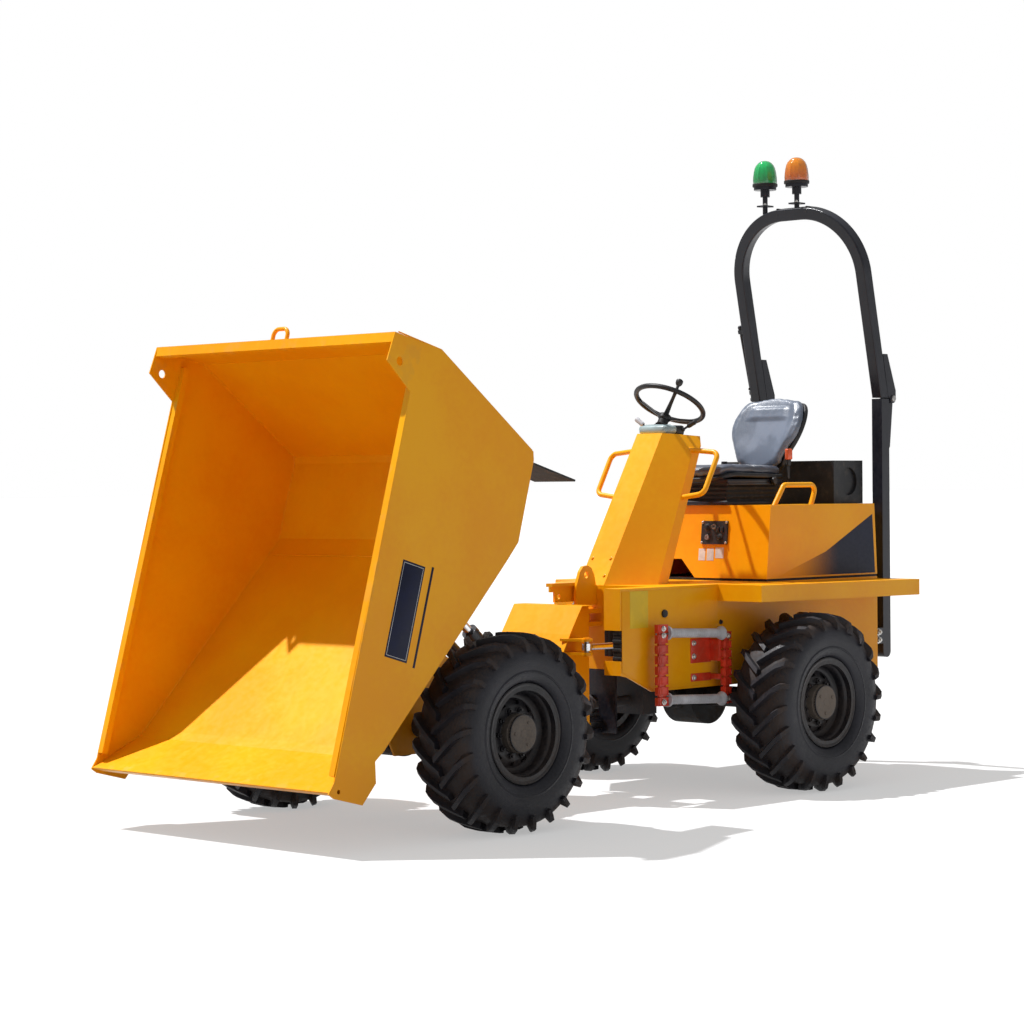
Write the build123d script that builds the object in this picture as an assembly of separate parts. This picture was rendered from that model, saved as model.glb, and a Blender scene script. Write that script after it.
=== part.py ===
import os
from math import sin, cos, tan, radians, hypot

from build123d import *

# Site dumper: articulated, four equal wheels, tipping skip in front, seat over the engine behind.
# Built in millimetres about the steering pivot: +X to the front, +Y to the driver's left, Z = 0 on the ground.
# Every piece is moved by pivot_x at the end, so that the middle of the whole length is at X = 0.

# ---- wheels and axles
tyre_diameter = 845.0
tyre_width = 310.0
bead_radius = 190.0
flange_radius = 212.0
rim_width = 250.0
hub_radius = 80.0
track = 1397.0
front_axle_x = 1212.0
rear_axle_x = -850.0
axle_tube_radius = 50.0
stub_radius = 30.0
diff_radius = 140.0

# ---- steering pivot
pivot_pin_radius = 30.0
pivot_lug_radius = 45.0 + 17.0
upper_lug = (820.0, 850.0)
lower_lug = (315.0, 340.0)
clevis_gap = 5.0
clevis_plate = 20.0
running = 0.05          # radial clearance of a shaft that turns in its bore
fit = 0.3               # radial clearance of a piece that is only seated in a bore
clear = 5.0             # between pieces that move past each other

# ---- front chassis
front_half_width = 185.0
front_plate = 12.0
cover_half_width = 217.0
tip_pin_x = 1349.0
tip_pin_z = 838.0
tip_pin_radius = 25.0
tip_boss_radius = 50.0

# ---- skip, drawn level: u from rear to front along the rim, v up, rim at v = 0
skip_half_width = 761.0
skip_wall = 6.0
tip_angle = 74.05
tip_pin_u = 849.0
tip_pin_v = -712.0
skip_floor_v = -767.0
slope_start = (523.0, -722.0)
slope_end = (1438.0, -235.0)
lip_foot = (1478.0, -205.0)
lip_top = (1657.0, 4.0)
rim_rail = 30.0
rear_rail = 42.0
ear_hole_radius = 18.0

# ---- tip rams
tip_ram_y = 115.0
tip_ram_base = (340.0, 405.0)
tip_ram_eye = (-280.0, -130.0)     # from the tip pin, skip level
tip_ram_radius = 35.0
tip_rod_radius = 20.0
tip_ram_barrel = 640.0

# ---- steering ram
steer_ram_base = (-500.0, 385.0)
steer_ram_eye = (260.0, 300.0)
steer_ram_z = 720.0
steer_ram_radius = 28.0
steer_rod_radius = 15.0
steer_ram_barrel = 500.0
ram_pin_radius = 12.0

# ---- rear chassis
rear_half_width = 450.0
rear_plate = 8.0
rear_end_x = -1750.0
cheek_front_x = 198.0
cheek_inner_y = 350.0
bulkhead_x = -110.0
deck_z = 985.0
belly_z = 506.0

# ---- fenders
fender_front_x = -495.0
fender_rear_x = -1745.0
fender_outer_y = 713.0
fender_front_z = (906.0, 984.0)
fender_rear_z = (898.0, 976.0)
fender_sheet = 5.0

# ---- seat box, seat, cowl
seat_box_half_width = 450.0
seat_box_base_z = 997.0
seat_box_top_z = 1353.0
box_sheet = 5.0
cowl_sheet = 4.0
handle_radius = 12.5

# ---- steering wheel
wheel_centre = (-680.0, 0.0, 1850.0)
wheel_tilt = 30.0
wheel_radius = 184.0
wheel_rim_radius = 12.0
wheel_dish = 75.0
spoke_angles = (48.0, 168.0, 288.0)
knob_angle = 48.0

# ---- roll-over frame
rops_tube = 62.0
rops_half_width = 424.0
rops_rear_x = -1897.0
rops_joint_z = 1886.0
rops_top_z = 2870.0
rops_lean = 12.0
rops_corner = 360.0
rops_pin_x = -1932.0
rops_pin_radius = 12.0
rops_lug_radius = 24.0

# ---- where the pivot lies along the whole machine
pivot_x = -155.0

axle_z = tyre_diameter / 2
wheel_y = track / 2
front_inner = front_half_width - front_plate
rear_inner = rear_half_width - rear_plate


def block(x, y, z):
    return Pos(x[0] / 2 + x[1] / 2, y[0] / 2 + y[1] / 2, z[0] / 2 + z[1] / 2) * Box(abs(x[1] - x[0]), abs(y[1] - y[0]), abs(z[1] - z[0]))


def side_prism(points, y):
    face = Face(Wire.make_polygon([Vector(a, y[0], b) for a, b in points], close=True))
    return Solid.extrude(face, Vector(0, y[1] - y[0], 0))


def plan_prism(points, z):
    face = Face(Wire.make_polygon([Vector(a, b, z[0]) for a, b in points], close=True))
    return Solid.extrude(face, Vector(0, 0, z[1] - z[0]))


def bar(start, end, radius):
    start = Vector(*start)
    end = Vector(*end)
    return Solid.make_cylinder(radius, (end - start).length, Plane(origin=start, z_dir=end - start))


def cross_bar(x, z, radius, y):
    return bar((x, y[0], z), (x, y[1], z), radius)


def upright(x, y, radius, z):
    return bar((x, y, z[0]), (x, y, z[1]), radius)


def both_sides(shape):
    return [shape, mirror(shape, about=Plane.XZ)]


def joined(shapes):
    whole = shapes[0]
    for shape in shapes[1:]:
        whole = whole + shape
    return whole


def offset_line(points, distance):
    # points moved to the left of the running direction, corners mitred
    moved = []
    for i, point in enumerate(points):
        before = points[i - 1] if i > 0 else None
        after = points[i + 1] if i < len(points) - 1 else None
        normals = []
        for a, b in ((before, point), (point, after)):
            if a is not None and b is not None:
                length = hypot(b[0] - a[0], b[1] - a[1])
                normals.append((-(b[1] - a[1]) / length, (b[0] - a[0]) / length))
        if len(normals) == 1:
            n = normals[0]
            moved.append((point[0] + n[0] * distance, point[1] + n[1] * distance))
        else:
            sx = normals[0][0] + normals[1][0]
            sz = normals[0][1] + normals[1][1]
            scale = 2 / (sx * sx + sz * sz)
            moved.append((point[0] + sx * scale * distance, point[1] + sz * scale * distance))
    return moved


def sheet(points, thickness, y):
    return side_prism(points + offset_line(points, thickness)[::-1], y)


def bent_tube(points, corner, radius):
    path = FilletPolyline(*[Vector(*p) for p in points], radius=corner)
    start = Plane(origin=path @ 0, z_dir=path % 0)
    return sweep(start * Circle(radius), path=path)


def spin(profile, x, y):
    # profile rows are (radius, offset along the axle); turned about the axle line
    face = Face(Wire.make_polygon([Vector(x + r, y + w, axle_z) for r, w in profile], close=True))
    return Solid.revolve(face, 360, Axis((x, y, axle_z), (0, 1, 0)))


nodes = {}


def keep(name, *shapes):
    solids = []
    for shape in shapes:
        solids.extend(shape.solids())
    nodes[name] = Compound(solids) if len(solids) > 1 else solids[0]


# ==== wheels: tyre and rim with the hub that runs on the axle stub
bead_half = rim_width / 2 - 9
tyre_half = tyre_width / 2
tyre_radius = tyre_diameter / 2
tyre_profile = [
    (bead_radius + fit, -bead_half), (flange_radius + 2, -bead_half), (flange_radius + 5, -bead_half - 20),
    (tyre_radius * 0.72, -tyre_half), (tyre_radius * 0.88, -tyre_half + 3), (tyre_radius * 0.965, -tyre_half + 22),
    (tyre_radius, -tyre_half * 0.62), (tyre_radius, tyre_half * 0.62), (tyre_radius * 0.965, tyre_half - 22),
    (tyre_radius * 0.88, tyre_half - 3), (tyre_radius * 0.72, tyre_half), (flange_radius + 5, bead_half + 20),
    (flange_radius + 2, bead_half), (bead_radius + fit, bead_half)]

rim_half = rim_width / 2
disc_seat = 14.0
rim_profile = [
    (bead_radius, -rim_half + 9), (flange_radius, -rim_half + 9), (flange_radius, -rim_half), (bead_radius - 8, -rim_half),
    (bead_radius - 8, disc_seat - 12), (hub_radius, disc_seat - 12), (hub_radius, disc_seat), (bead_radius - 8, disc_seat),
    (bead_radius - 8, rim_half), (flange_radius, rim_half), (flange_radius, rim_half - 9), (bead_radius, rim_half - 9)]
hub_inner = 138.0
hub_outer = 112.0
stub_end = 45.0

wheel_places = [
    ("front_left", front_axle_x, 1), ("front_right", front_axle_x, -1),
    ("rear_left", rear_axle_x, 1), ("rear_right", rear_axle_x, -1)]

for place, x, side in wheel_places:
    tyre = spin(tyre_profile, x, wheel_y)
    rim = spin(rim_profile, x, wheel_y)
    hub = cross_bar(x, axle_z, hub_radius, (wheel_y - hub_inner, wheel_y + hub_outer))
    bore = cross_bar(x, axle_z, stub_radius + running, (wheel_y - hub_inner - 5, wheel_y - stub_end + 5))
    wheel = rim + hub - bore
    if side < 0:
        tyre = mirror(tyre, about=Plane.XZ)
        wheel = mirror(wheel, about=Plane.XZ)
    keep("tyre_" + place, tyre)
    keep("rim_" + place, wheel)

# ==== axles
axle_end = wheel_y - hub_inner - 10


def axle(x, nose):
    tube = cross_bar(x, axle_z, axle_tube_radius, (-axle_end, axle_end))
    stub = cross_bar(x, axle_z, stub_radius, (-wheel_y + stub_end, wheel_y - stub_end))
    case = cross_bar(x, axle_z, diff_radius, (-95, 95))
    snout = bar((x, 0, axle_z), (x + nose * (diff_radius + 45), 0, axle_z), 58)
    pieces = [tube, stub, case, snout]
    for y in (axle_end - 12, -axle_end):
        pieces.append(cross_bar(x, axle_z, hub_radius, (y, y + 12)))
    return joined(pieces)


keep("front_axle", axle(front_axle_x, -1))
keep("rear_axle", axle(rear_axle_x, 1))

# ==== drive shafts: the joint at the pivot lets the front half turn with the front chassis
shaft_z = axle_z
shaft_radius = 25.0
yoke_reach = 60.0
prong = 12.0
prong_gap = 30.0
front_nose_x = front_axle_x - diff_radius - 45
rear_nose_x = rear_axle_x + diff_radius + 45
box_front_x = -350.0
box_rear_x = -450.0

front_shaft = bar((yoke_reach, 0, shaft_z), (front_nose_x, 0, shaft_z), shaft_radius)
front_shaft = front_shaft + bar((yoke_reach, 0, shaft_z), (yoke_reach + 15, 0, shaft_z), 45)
front_shaft = front_shaft + bar((front_nose_x - 15, 0, shaft_z), (front_nose_x, 0, shaft_z), 45)
for y in (prong_gap, -prong_gap - prong):
    front_shaft = front_shaft + block((-18, yoke_reach), (y, y + prong), (shaft_z - 16, shaft_z + 16))
front_shaft = front_shaft + block((-12, 12), (-prong_gap, prong_gap), (shaft_z - 12, shaft_z + 12))
front_shaft = front_shaft + upright(0, 0, 9, (shaft_z - prong_gap - prong, shaft_z + prong_gap + prong))
keep("front_drive_shaft", front_shaft)

rear_shaft = bar((box_front_x, 0, shaft_z), (-yoke_reach, 0, shaft_z), shaft_radius)
rear_shaft = rear_shaft + bar((-yoke_reach - 15, 0, shaft_z), (-yoke_reach, 0, shaft_z), 45)
for z in (prong_gap, -prong_gap - prong):
    ear = block((-yoke_reach, 0), (-18, 18), (shaft_z + z, shaft_z + z + prong))
    ear = ear + upright(0, 0, 18, (shaft_z + z, shaft_z + z + prong))
    rear_shaft = rear_shaft + (ear - upright(0, 0, 9 + running, (shaft_z + z - 1, shaft_z + z + prong + 1)))
axle_shaft = bar((rear_nose_x, 0, shaft_z), (box_rear_x, 0, shaft_z), shaft_radius)
axle_shaft = axle_shaft + bar((rear_nose_x, 0, shaft_z), (rear_nose_x + 15, 0, shaft_z), 45)
axle_shaft = axle_shaft + bar((box_rear_x - 15, 0, shaft_z), (box_rear_x, 0, shaft_z), 45)
keep("rear_drive_shaft", rear_shaft, axle_shaft)

# ==== engine and transmission as plain blocks, drop box below the transmission
engine = block((-1640, -1080), (-270, 270), (560, 930)) + block((-1560, -1160), (-150, 150), (520, 560))
keep("engine_block", engine)
gearbox = block((-1080, -350), (-160, 160), (620, 820))
drop_half = 100.0
drop_box = block((box_rear_x, box_front_x), (-drop_half, drop_half), (360, 620))
keep("transmission", gearbox + drop_box)

# ==== rear chassis
aperture_z = (655.0, 795.0)
outline = [
    (cheek_front_x, 590), (151, 580), (-15, belly_z), (rear_end_x, belly_z), (rear_end_x, deck_z), (cheek_front_x, deck_z)]
frame_side = side_prism(outline, (rear_inner, rear_half_width))
flange = block((cheek_front_x - rear_plate, cheek_front_x), (cheek_inner_y, rear_half_width), (590, deck_z))
opening = block((cheek_front_x - 28, cheek_front_x + 5), (cheek_inner_y - 5, rear_half_width + 5), aperture_z)
deck_strip = block((bulkhead_x, cheek_front_x), (cheek_inner_y, rear_half_width), (deck_z - rear_plate, deck_z))
left_side = joined([frame_side, flange, deck_strip]) - opening

# the right front corner is cut back
corner_x = -340.0
corner_y = 240.0
right_side = side_prism([(corner_x, belly_z), (rear_end_x, belly_z), (rear_end_x, deck_z), (corner_x, deck_z)], (-rear_half_width, -rear_inner))
corner_line = [(corner_x, -rear_half_width), (bulkhead_x + 10, -corner_y)]
corner_plate = plan_prism(corner_line + offset_line(corner_line, rear_plate)[::-1], (belly_z, deck_z))

ram_z = steer_ram_z
base_plates = []
for low in (ram_z + steer_ram_radius + clear, ram_z - steer_ram_radius - clear - 12):
    plate = block((steer_ram_base[0] - 30, steer_ram_base[0] + 30), (steer_ram_base[1], rear_inner), (low, low + 12))
    base_plates.append(plate + upright(steer_ram_base[0], steer_ram_base[1], 30, (low, low + 12)))
base_pin = upright(*steer_ram_base, ram_pin_radius, (ram_z - steer_ram_radius - 17, ram_z + steer_ram_radius + 17))

deck_plan = [
    (rear_end_x, -rear_half_width), (corner_x, -rear_half_width), (bulkhead_x + 10, -corner_y), (bulkhead_x + 10, rear_half_width),
    (rear_end_x, rear_half_width)]
deck = plan_prism(deck_plan, (deck_z - rear_plate, deck_z))
rear_wall = block((rear_end_x, rear_end_x + rear_plate), (-rear_half_width, rear_half_width), (belly_z, deck_z))
rear_wall = rear_wall - block((rear_end_x - 5, rear_end_x + 15), (-300, 300), (620, 920))
bulkhead = block((bulkhead_x, bulkhead_x + 10), (-corner_y, rear_inner), (590, deck_z - rear_plate))
bulkhead = bulkhead - block((bulkhead_x - 5, bulkhead_x + 15), (245, rear_inner - 5), (675, 765))
hanger = block((bulkhead_x, bulkhead_x + 10), (-150, 150), (290, 590))
hanger = hanger - bar((bulkhead_x - 5, 0, shaft_z), (bulkhead_x + 15, 0, shaft_z), shaft_radius + 20)
members = []
for x in ((-640, -560), (-1720, -1650)):
    members.append(block(x, (-rear_half_width, rear_half_width), (belly_z, belly_z + rear_plate)))
for y in ((drop_half, rear_half_width), (-rear_half_width, -drop_half)):
    members.append(block((-420, -350), y, (belly_z, belly_z + rear_plate)))
members.append(block((-190, bulkhead_x + 10), (150, rear_half_width), (590, 590 + rear_plate)))
for y in ((300, rear_half_width), (-rear_half_width, -300)):
    members.append(block((rear_axle_x - 60, rear_axle_x + 60), y, (belly_z, belly_z + rear_plate)))
saddles = []
for y in ((330, 430), (-430, -330)):
    saddle = block((rear_axle_x - 45, rear_axle_x + 45), y, (axle_z + 10, belly_z))
    saddles.append(saddle - cross_bar(rear_axle_x, axle_z, axle_tube_radius + fit, (y[0] - 5, y[1] + 5)))

pivot_plates = []
for lug in (upper_lug, lower_lug):
    for low in (lug[1] + clevis_gap, lug[0] - clevis_gap - clevis_plate):
        plate = block((bulkhead_x + 10 * (lug == upper_lug), 0), (-pivot_lug_radius, pivot_lug_radius), (low, low + clevis_plate))
        plate = plate + upright(0, 0, pivot_lug_radius, (low, low + clevis_plate))
        pivot_plates.append(plate - upright(0, 0, pivot_pin_radius + fit, (low - 1, low + clevis_plate + 1)))

tow_plates = []
for z in (530, 580):
    plate = block((rear_end_x - 70, rear_end_x), (-60, 60), (z, z + 15))
    plate = plate + upright(rear_end_x - 70, 0, 60, (z, z + 15))
    tow_plates.append(plate - upright(rear_end_x - 75, 0, 16, (z - 1, z + 16)))

lug_y = (20.0, 36.0)
lug_outline = [
    (bulkhead_x + 10, 893), (38, 893), (44, 930), (40, 985), (14, 1052), (-6, 1076), (-40, 1080), (-66, 1066), (-84, 1036), (-96, deck_z),
    (bulkhead_x + 10, deck_z)]
lifting_lug = side_prism(lug_outline, lug_y) - cross_bar(-30, 1036, 16, (lug_y[0] - 2, lug_y[1] + 2))

chassis = joined([deck, rear_wall, bulkhead, left_side, right_side, corner_plate] + members + saddles)
chassis = joined([chassis, lifting_lug, base_pin] + base_plates + pivot_plates[:2] + tow_plates)
keep("rear_chassis", chassis)
keep("pivot_hanger", joined([hanger] + pivot_plates[2:]))

lock_web = side_prism([(bulkhead_x + 10, 912), (157, 912), (157, 960), (187, 960), (187, 985), (bulkhead_x + 10, 985)], (-6, 6))
lock_top = block((8, 187), (-22, 18), (985, 1001)) + block((bulkhead_x + 10, 8), (-22, 18), (985, 1001))
keep("articulation_lock", lock_web + lock_top - cross_bar(130, 938, 12, (-10, 10)))

pins = []
for lug in (upper_lug, lower_lug):
    reach = clevis_gap + clevis_plate + 8
    pins.append(upright(0, 0, pivot_pin_radius, (lug[0] - reach, lug[1] + reach)))
keep("pivot_pins", *pins)

grille = block((rear_end_x - 6, rear_end_x), (-310, 310), (610, 930))
for i in range(8):
    z = 640 + i * 34
    grille = grille - block((rear_end_x - 10, rear_end_x + 5), (-280, 280), (z, z + 16))
keep("rear_grille", grille)

# ==== fenders over the rear wheels; the right one has its front corner cut back
def fender(plan, inner_plan):
    low_f, top_f = fender_front_z
    low_r, top_r = fender_rear_z
    outside = side_prism([(fender_front_x, top_f), (fender_rear_x, top_r), (fender_rear_x, low_r), (fender_front_x, low_f)], (rear_half_width, fender_outer_y))
    inside = side_prism([
        (fender_front_x + 5, top_f - fender_sheet), (fender_rear_x - 5, top_r - fender_sheet), (fender_rear_x - 5, 870),
        (fender_front_x + 5, 870)], (rear_half_width - 5, fender_outer_y))
    return (outside & plan_prism(plan, (800, 1100))) - (inside & plan_prism(inner_plan, (800, 1100)))


cut_x = 125.0
cut_y = 113.0
t = fender_sheet
front, rear, inner, outer = fender_front_x, fender_rear_x, rear_half_width, fender_outer_y
left_fender = fender(
    [(front, inner), (front, outer), (rear, outer), (rear, inner)],
    [(front - t, inner - 5), (front - t, outer - t), (rear + t, outer - t), (rear + t, inner - 5)])
right_fender = fender(
    [(front, inner), (front, outer - cut_y), (front - cut_x, outer), (rear, outer), (rear, inner)],
    [(front - t, inner - 5), (front - t, outer - cut_y - 2), (front - cut_x - 2, outer - t), (rear + t, outer - t), (rear + t, inner - 5)])
keep("fenders", left_fender, mirror(right_fender, about=Plane.XZ))

# ==== step: two straps with two rungs, bolted to the left side of the rear chassis
step_y = 515.0
rungs = []
for z in (777, 470):
    rungs.append(bar((-444, step_y, z - 18), (-45, step_y, z), 22))
hangers = []
for x, z in ((-70, 777), (-425, 760)):
    hangers.append(block((x, x + 30), (rear_half_width, step_y), (z - 12, z + 12)))
front_strap = block((-45, 25), (step_y - 10, step_y + 10), (440, 822))
rear_strap = block((-500, -444), (step_y - 10, step_y + 10), (424, 770))
straps = front_strap + rear_strap
keep("step_rungs", rungs[0] + hangers[0] + hangers[1] - straps, rungs[1] - straps)
plate = block((-432, -287), (rear_half_width, rear_half_width + 8), (622, 738))
small_plate = block((-432, -287), (rear_half_width, rear_half_width + 8), (536, 574))
keep("step_straps", front_strap, rear_strap, plate, small_plate)

# ==== seat box with its seal and switch panel
box_outline = [(-863, seat_box_base_z), (-897, seat_box_top_z), (-1730, seat_box_top_z), (-1751, seat_box_base_z)]
box_hollow = [
    (-863 - box_sheet, seat_box_base_z - 5), (-897 - box_sheet, seat_box_top_z - box_sheet),
    (-1730 + box_sheet, seat_box_top_z - box_sheet), (-1751 + box_sheet, seat_box_base_z - 5)]
notch_outline = [(0, seat_box_base_z - 5), (-95, 1088), (-300, 1088), (-395, seat_box_base_z - 5)]
seat_box = side_prism(box_outline, (-seat_box_half_width, seat_box_half_width))
seat_box = seat_box - side_prism(box_hollow, (-seat_box_half_width + box_sheet, seat_box_half_width - box_sheet))
notch = Face(Wire.make_polygon([Vector(-880, a, b) for a, b in notch_outline], close=True))
seat_box = seat_box - Solid.extrude(notch, Vector(40, 0, 0))
keep("seat_box", seat_box)
seal = block((-1748, -865), (-447, 447), (deck_z, seat_box_base_z))
keep("seat_box_seal", seal - block((-1725, -889), (-425, 425), (deck_z - 5, seat_box_base_z + 5)))
panel_lean = (897 - 863) / (seat_box_top_z - seat_box_base_z)
panel_x = -863 - panel_lean * (1162 - seat_box_base_z)
panel_top_x = -863 - panel_lean * (1276 - seat_box_base_z)
panel = [(panel_x, 1162), (panel_x + 8, 1162), (panel_top_x + 8, 1276), (panel_top_x, 1276)]
keep("switch_panel", side_prism(panel, (30, 194)))

# ==== intake box behind the seat
intake = block((-1775, -1535), (-345, 345), (seat_box_top_z, 1570))
intake = intake - cross_bar(-1655, 1465, 70, (330, 350)) - cross_bar(-1655, 1465, 70, (-350, -330))
keep("intake_box", intake)

# ==== seat
keep("seat_suspension", block((-1310, -880), (-190, 190), (seat_box_top_z, 1395)) + block((-1270, -900), (-165, 165), (1395, 1450)) + block((-1310, -880), (-200, 200), (1450, 1482)))
cushion_outline = [(-830, 1495), (-840, 1535), (-900, 1548), (-1180, 1530), (-1350, 1545), (-1380, 1482), (-850, 1482)]
keep("seat_cushion", side_prism(cushion_outline, (-215, 215)))
back_outline = [(-1380, 1482), (-1350, 1545), (-1380, 1620), (-1492, 1860), (-1530, 1902), (-1586, 1894), (-1592, 1840), (-1484, 1560), (-1455, 1482)]
keep("seat_backrest", side_prism(back_outline, (-220, 220)))
keep("belt_buckle", block((-1345, -1300), (215, 240), (1500, 1632)))

# ==== steering cowl: folded sheet, narrow front face leaning back
cowl_front = [(-102.0, deck_z), (-530.0, 1705.0)]
cowl_rear = [(-376.0, deck_z), (-711.0, 1690.0)]
cowl_face_half = 80.0
cowl_base_half = 240.0
cowl_side_rate = 0.0754
cowl_corner_x = -306.0
cowl_shoulder = (-583.0, 123.0, 1701.0)
cowl_shoulder_normal = (0.225, 0.818, 0.533)


def inset(points, distance):
    # closed polygon, counter-clockwise, every edge moved inwards
    moved = []
    count = len(points)
    for i in range(count):
        trio = offset_line([points[i - 1], points[i], points[(i + 1) % count]], distance)
        moved.append(trio[1])
    return moved


def cowl_solid(sheet_in):
    low = deck_z - 2 * sheet_in
    rise = cowl_front[1][1] - low
    front_rate = (cowl_front[1][0] - cowl_front[0][0]) / (cowl_front[1][1] - deck_z)
    rear_rate = (cowl_rear[1][0] - cowl_rear[0][0]) / (cowl_rear[1][1] - deck_z)
    outline = [
        (cowl_rear[0][0] + (low - deck_z) * rear_rate, low), (cowl_front[0][0] + (low - deck_z) * front_rate, low),
        cowl_front[1], cowl_rear[1]]
    body = side_prism(inset(outline, sheet_in), (-400, 400))
    base_half = cowl_base_half + cowl_side_rate * (deck_z - low)
    top_half = base_half - cowl_side_rate * rise
    section = inset([(-base_half, low), (base_half, low), (top_half, low + rise), (-top_half, low + rise)], sheet_in)
    face = Face(Wire.make_polygon([Vector(-900, a, b) for a, b in section], close=True))
    body = body & Solid.extrude(face, Vector(1000, 0, 0))
    edge = Vector(cowl_front[1][0] - cowl_front[0][0], 0, cowl_front[1][1] - deck_z)
    across = Vector(cowl_corner_x - cowl_front[0][0], cowl_base_half - cowl_face_half, 0)
    normal = across.cross(edge).normalized()
    if normal.X < 0:
        normal = normal * -1
    plane = Plane(origin=Vector(cowl_front[0][0], cowl_face_half, deck_z) - normal * sheet_in, z_dir=normal)
    shoulder_normal = Vector(*cowl_shoulder_normal).normalized()
    shoulder = Plane(origin=Vector(*cowl_shoulder) - shoulder_normal * sheet_in, z_dir=shoulder_normal)
    for cut in (plane, shoulder):
        cutter = cut * (Pos(0, 0, 1000) * Box(4000, 4000, 2000))
        body = body - cutter - mirror(cutter, about=Plane.XZ)
    return body


cowl = cowl_solid(0) - cowl_solid(cowl_sheet)
keep("steering_cowl", cowl)

# ==== dash with the steering column, levers
lean_axis = Vector(-sin(radians(wheel_tilt)), 0, cos(radians(wheel_tilt)))
centre = Vector(*wheel_centre)
top_rate = (cowl_front[1][1] - cowl_rear[1][1]) / (cowl_front[1][0] - cowl_rear[1][0])


def cowl_top(x):
    return cowl_rear[1][1] + (x - cowl_rear[1][0]) * top_rate


dash_outline = [(-536, cowl_top(-536)), (-540, 1722), (-572, 1748), (-655, 1748), (-700, 1722), (-704, cowl_top(-704))]
dash = side_prism(dash_outline, (-95, 95))
column_low = centre - lean_axis * (wheel_dish + 60)
column_high = centre - lean_axis * (wheel_dish + 26)
column = bar(tuple(column_low), tuple(column_high), 24)
column = column - bar(tuple(centre - lean_axis * (wheel_dish + 38)), tuple(centre - lean_axis * (wheel_dish + 20)), 11 + running)
keep("dash_panel", dash + column)
levers = []
for side_y, x, top in ((-1, -620, 1785), (1, -690, 1770)):
    rod = bar((x, side_y * 95, 1715), (x, side_y * 138, top), 6) - block((x - 20, x + 20), (-95, 95), (1690, 1740))
    levers.append(rod + bar((x, side_y * 135, top - 8), (x, side_y * 142, top + 14), 11))
keep("control_levers", *levers)

# ==== steering wheel
wheel_plane = Plane(origin=centre, x_dir=Vector(cos(radians(wheel_tilt)), 0, sin(radians(wheel_tilt))), z_dir=lean_axis)
ring_points = []
for i in range(12):
    angle = radians(15 + 30 * i)
    across = wheel_radius - wheel_rim_radius + wheel_rim_radius * cos(angle)
    ring_points.append(wheel_plane.from_local_coords(Vector(across, 0, wheel_rim_radius * sin(angle))))
ring = Solid.revolve(Face(Wire.make_polygon(ring_points, close=True)), 360, Axis(tuple(centre), tuple(lean_axis)))
hub_centre = centre - lean_axis * wheel_dish
hub_piece = bar(tuple(hub_centre - lean_axis * 20), tuple(hub_centre + lean_axis * 14), 30)
shaft_piece = bar(tuple(hub_centre - lean_axis * 36), tuple(hub_centre - lean_axis * 18), 11)
wheel_solid = joined([ring, hub_piece, shaft_piece])


def on_wheel(angle, radius):
    return centre + wheel_plane.x_dir * cos(radians(angle)) * radius + wheel_plane.y_dir * sin(radians(angle)) * radius


for angle in spoke_angles:
    wheel_solid = wheel_solid + bar(tuple(hub_centre), tuple(on_wheel(angle, wheel_radius - wheel_rim_radius)), 8)
knob_base = on_wheel(knob_angle, wheel_radius - wheel_rim_radius)
wheel_solid = wheel_solid + bar(tuple(knob_base), tuple(knob_base + lean_axis * 32), 8)
wheel_solid = wheel_solid + bar(tuple(knob_base + lean_axis * 28), tuple(knob_base + lean_axis * 64), 18)
keep("steering_wheel", wheel_solid)

# ==== hand rails: two on the cowl, two on the seat box
seat_rail = [(-975, 400, 1335), (-1063, 400, 1450), (-1320, 400, 1450), (-1270, 400, 1335)]
rail = bent_tube(seat_rail, 30, handle_radius)
rail = rail - block((-1400, -900), (350, 450), (1300, seat_box_top_z))
cowl_rail = [(-620, 150, 1625), (-638, 342, 1608), (-525, 342, 1412), (-530, 150, 1388)]
side_rail = bent_tube(cowl_rail, 35, handle_radius)
side_rail = side_rail - cowl_solid(0)
side_rail = side_rail.solids().sort_by(SortBy.VOLUME)[-1]
keep("grab_rails", *(both_sides(rail) + both_sides(side_rail)))

# ==== roll-over frame: fixed posts, folding hoop
post_y = (rops_half_width - rops_tube, rops_half_width)
pin_lug_y = (rops_half_width - rops_tube / 2 - 10, rops_half_width - rops_tube / 2 + 10)
post = block((rops_rear_x, rops_rear_x + rops_tube), post_y, (600, rops_joint_z - clear / 2))
post = post + cross_bar(rops_rear_x + rops_tube / 2, 600, rops_tube / 2, post_y)
lower_lug_outline = [
    (rops_rear_x, 1600), (rops_pin_x, 1640), (rops_pin_x - rops_lug_radius, rops_joint_z - 30),
    (rops_pin_x - rops_lug_radius, rops_joint_z), (rops_pin_x + rops_lug_radius, rops_joint_z), (rops_rear_x, rops_joint_z - clear)]
lower = side_prism(lower_lug_outline, pin_lug_y) + cross_bar(rops_pin_x, rops_joint_z, rops_lug_radius, pin_lug_y)
pin = cross_bar(rops_pin_x, rops_joint_z, rops_pin_radius, post_y)
mounts_low = []
for z in ((640, 720), (880, 960)):
    mounts_low.append(block((rops_rear_x + rops_tube, rear_end_x), (post_y[0] + 4, post_y[1]), z))
keep("rops_posts", *both_sides(joined([post, lower, pin] + mounts_low)))

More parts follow.
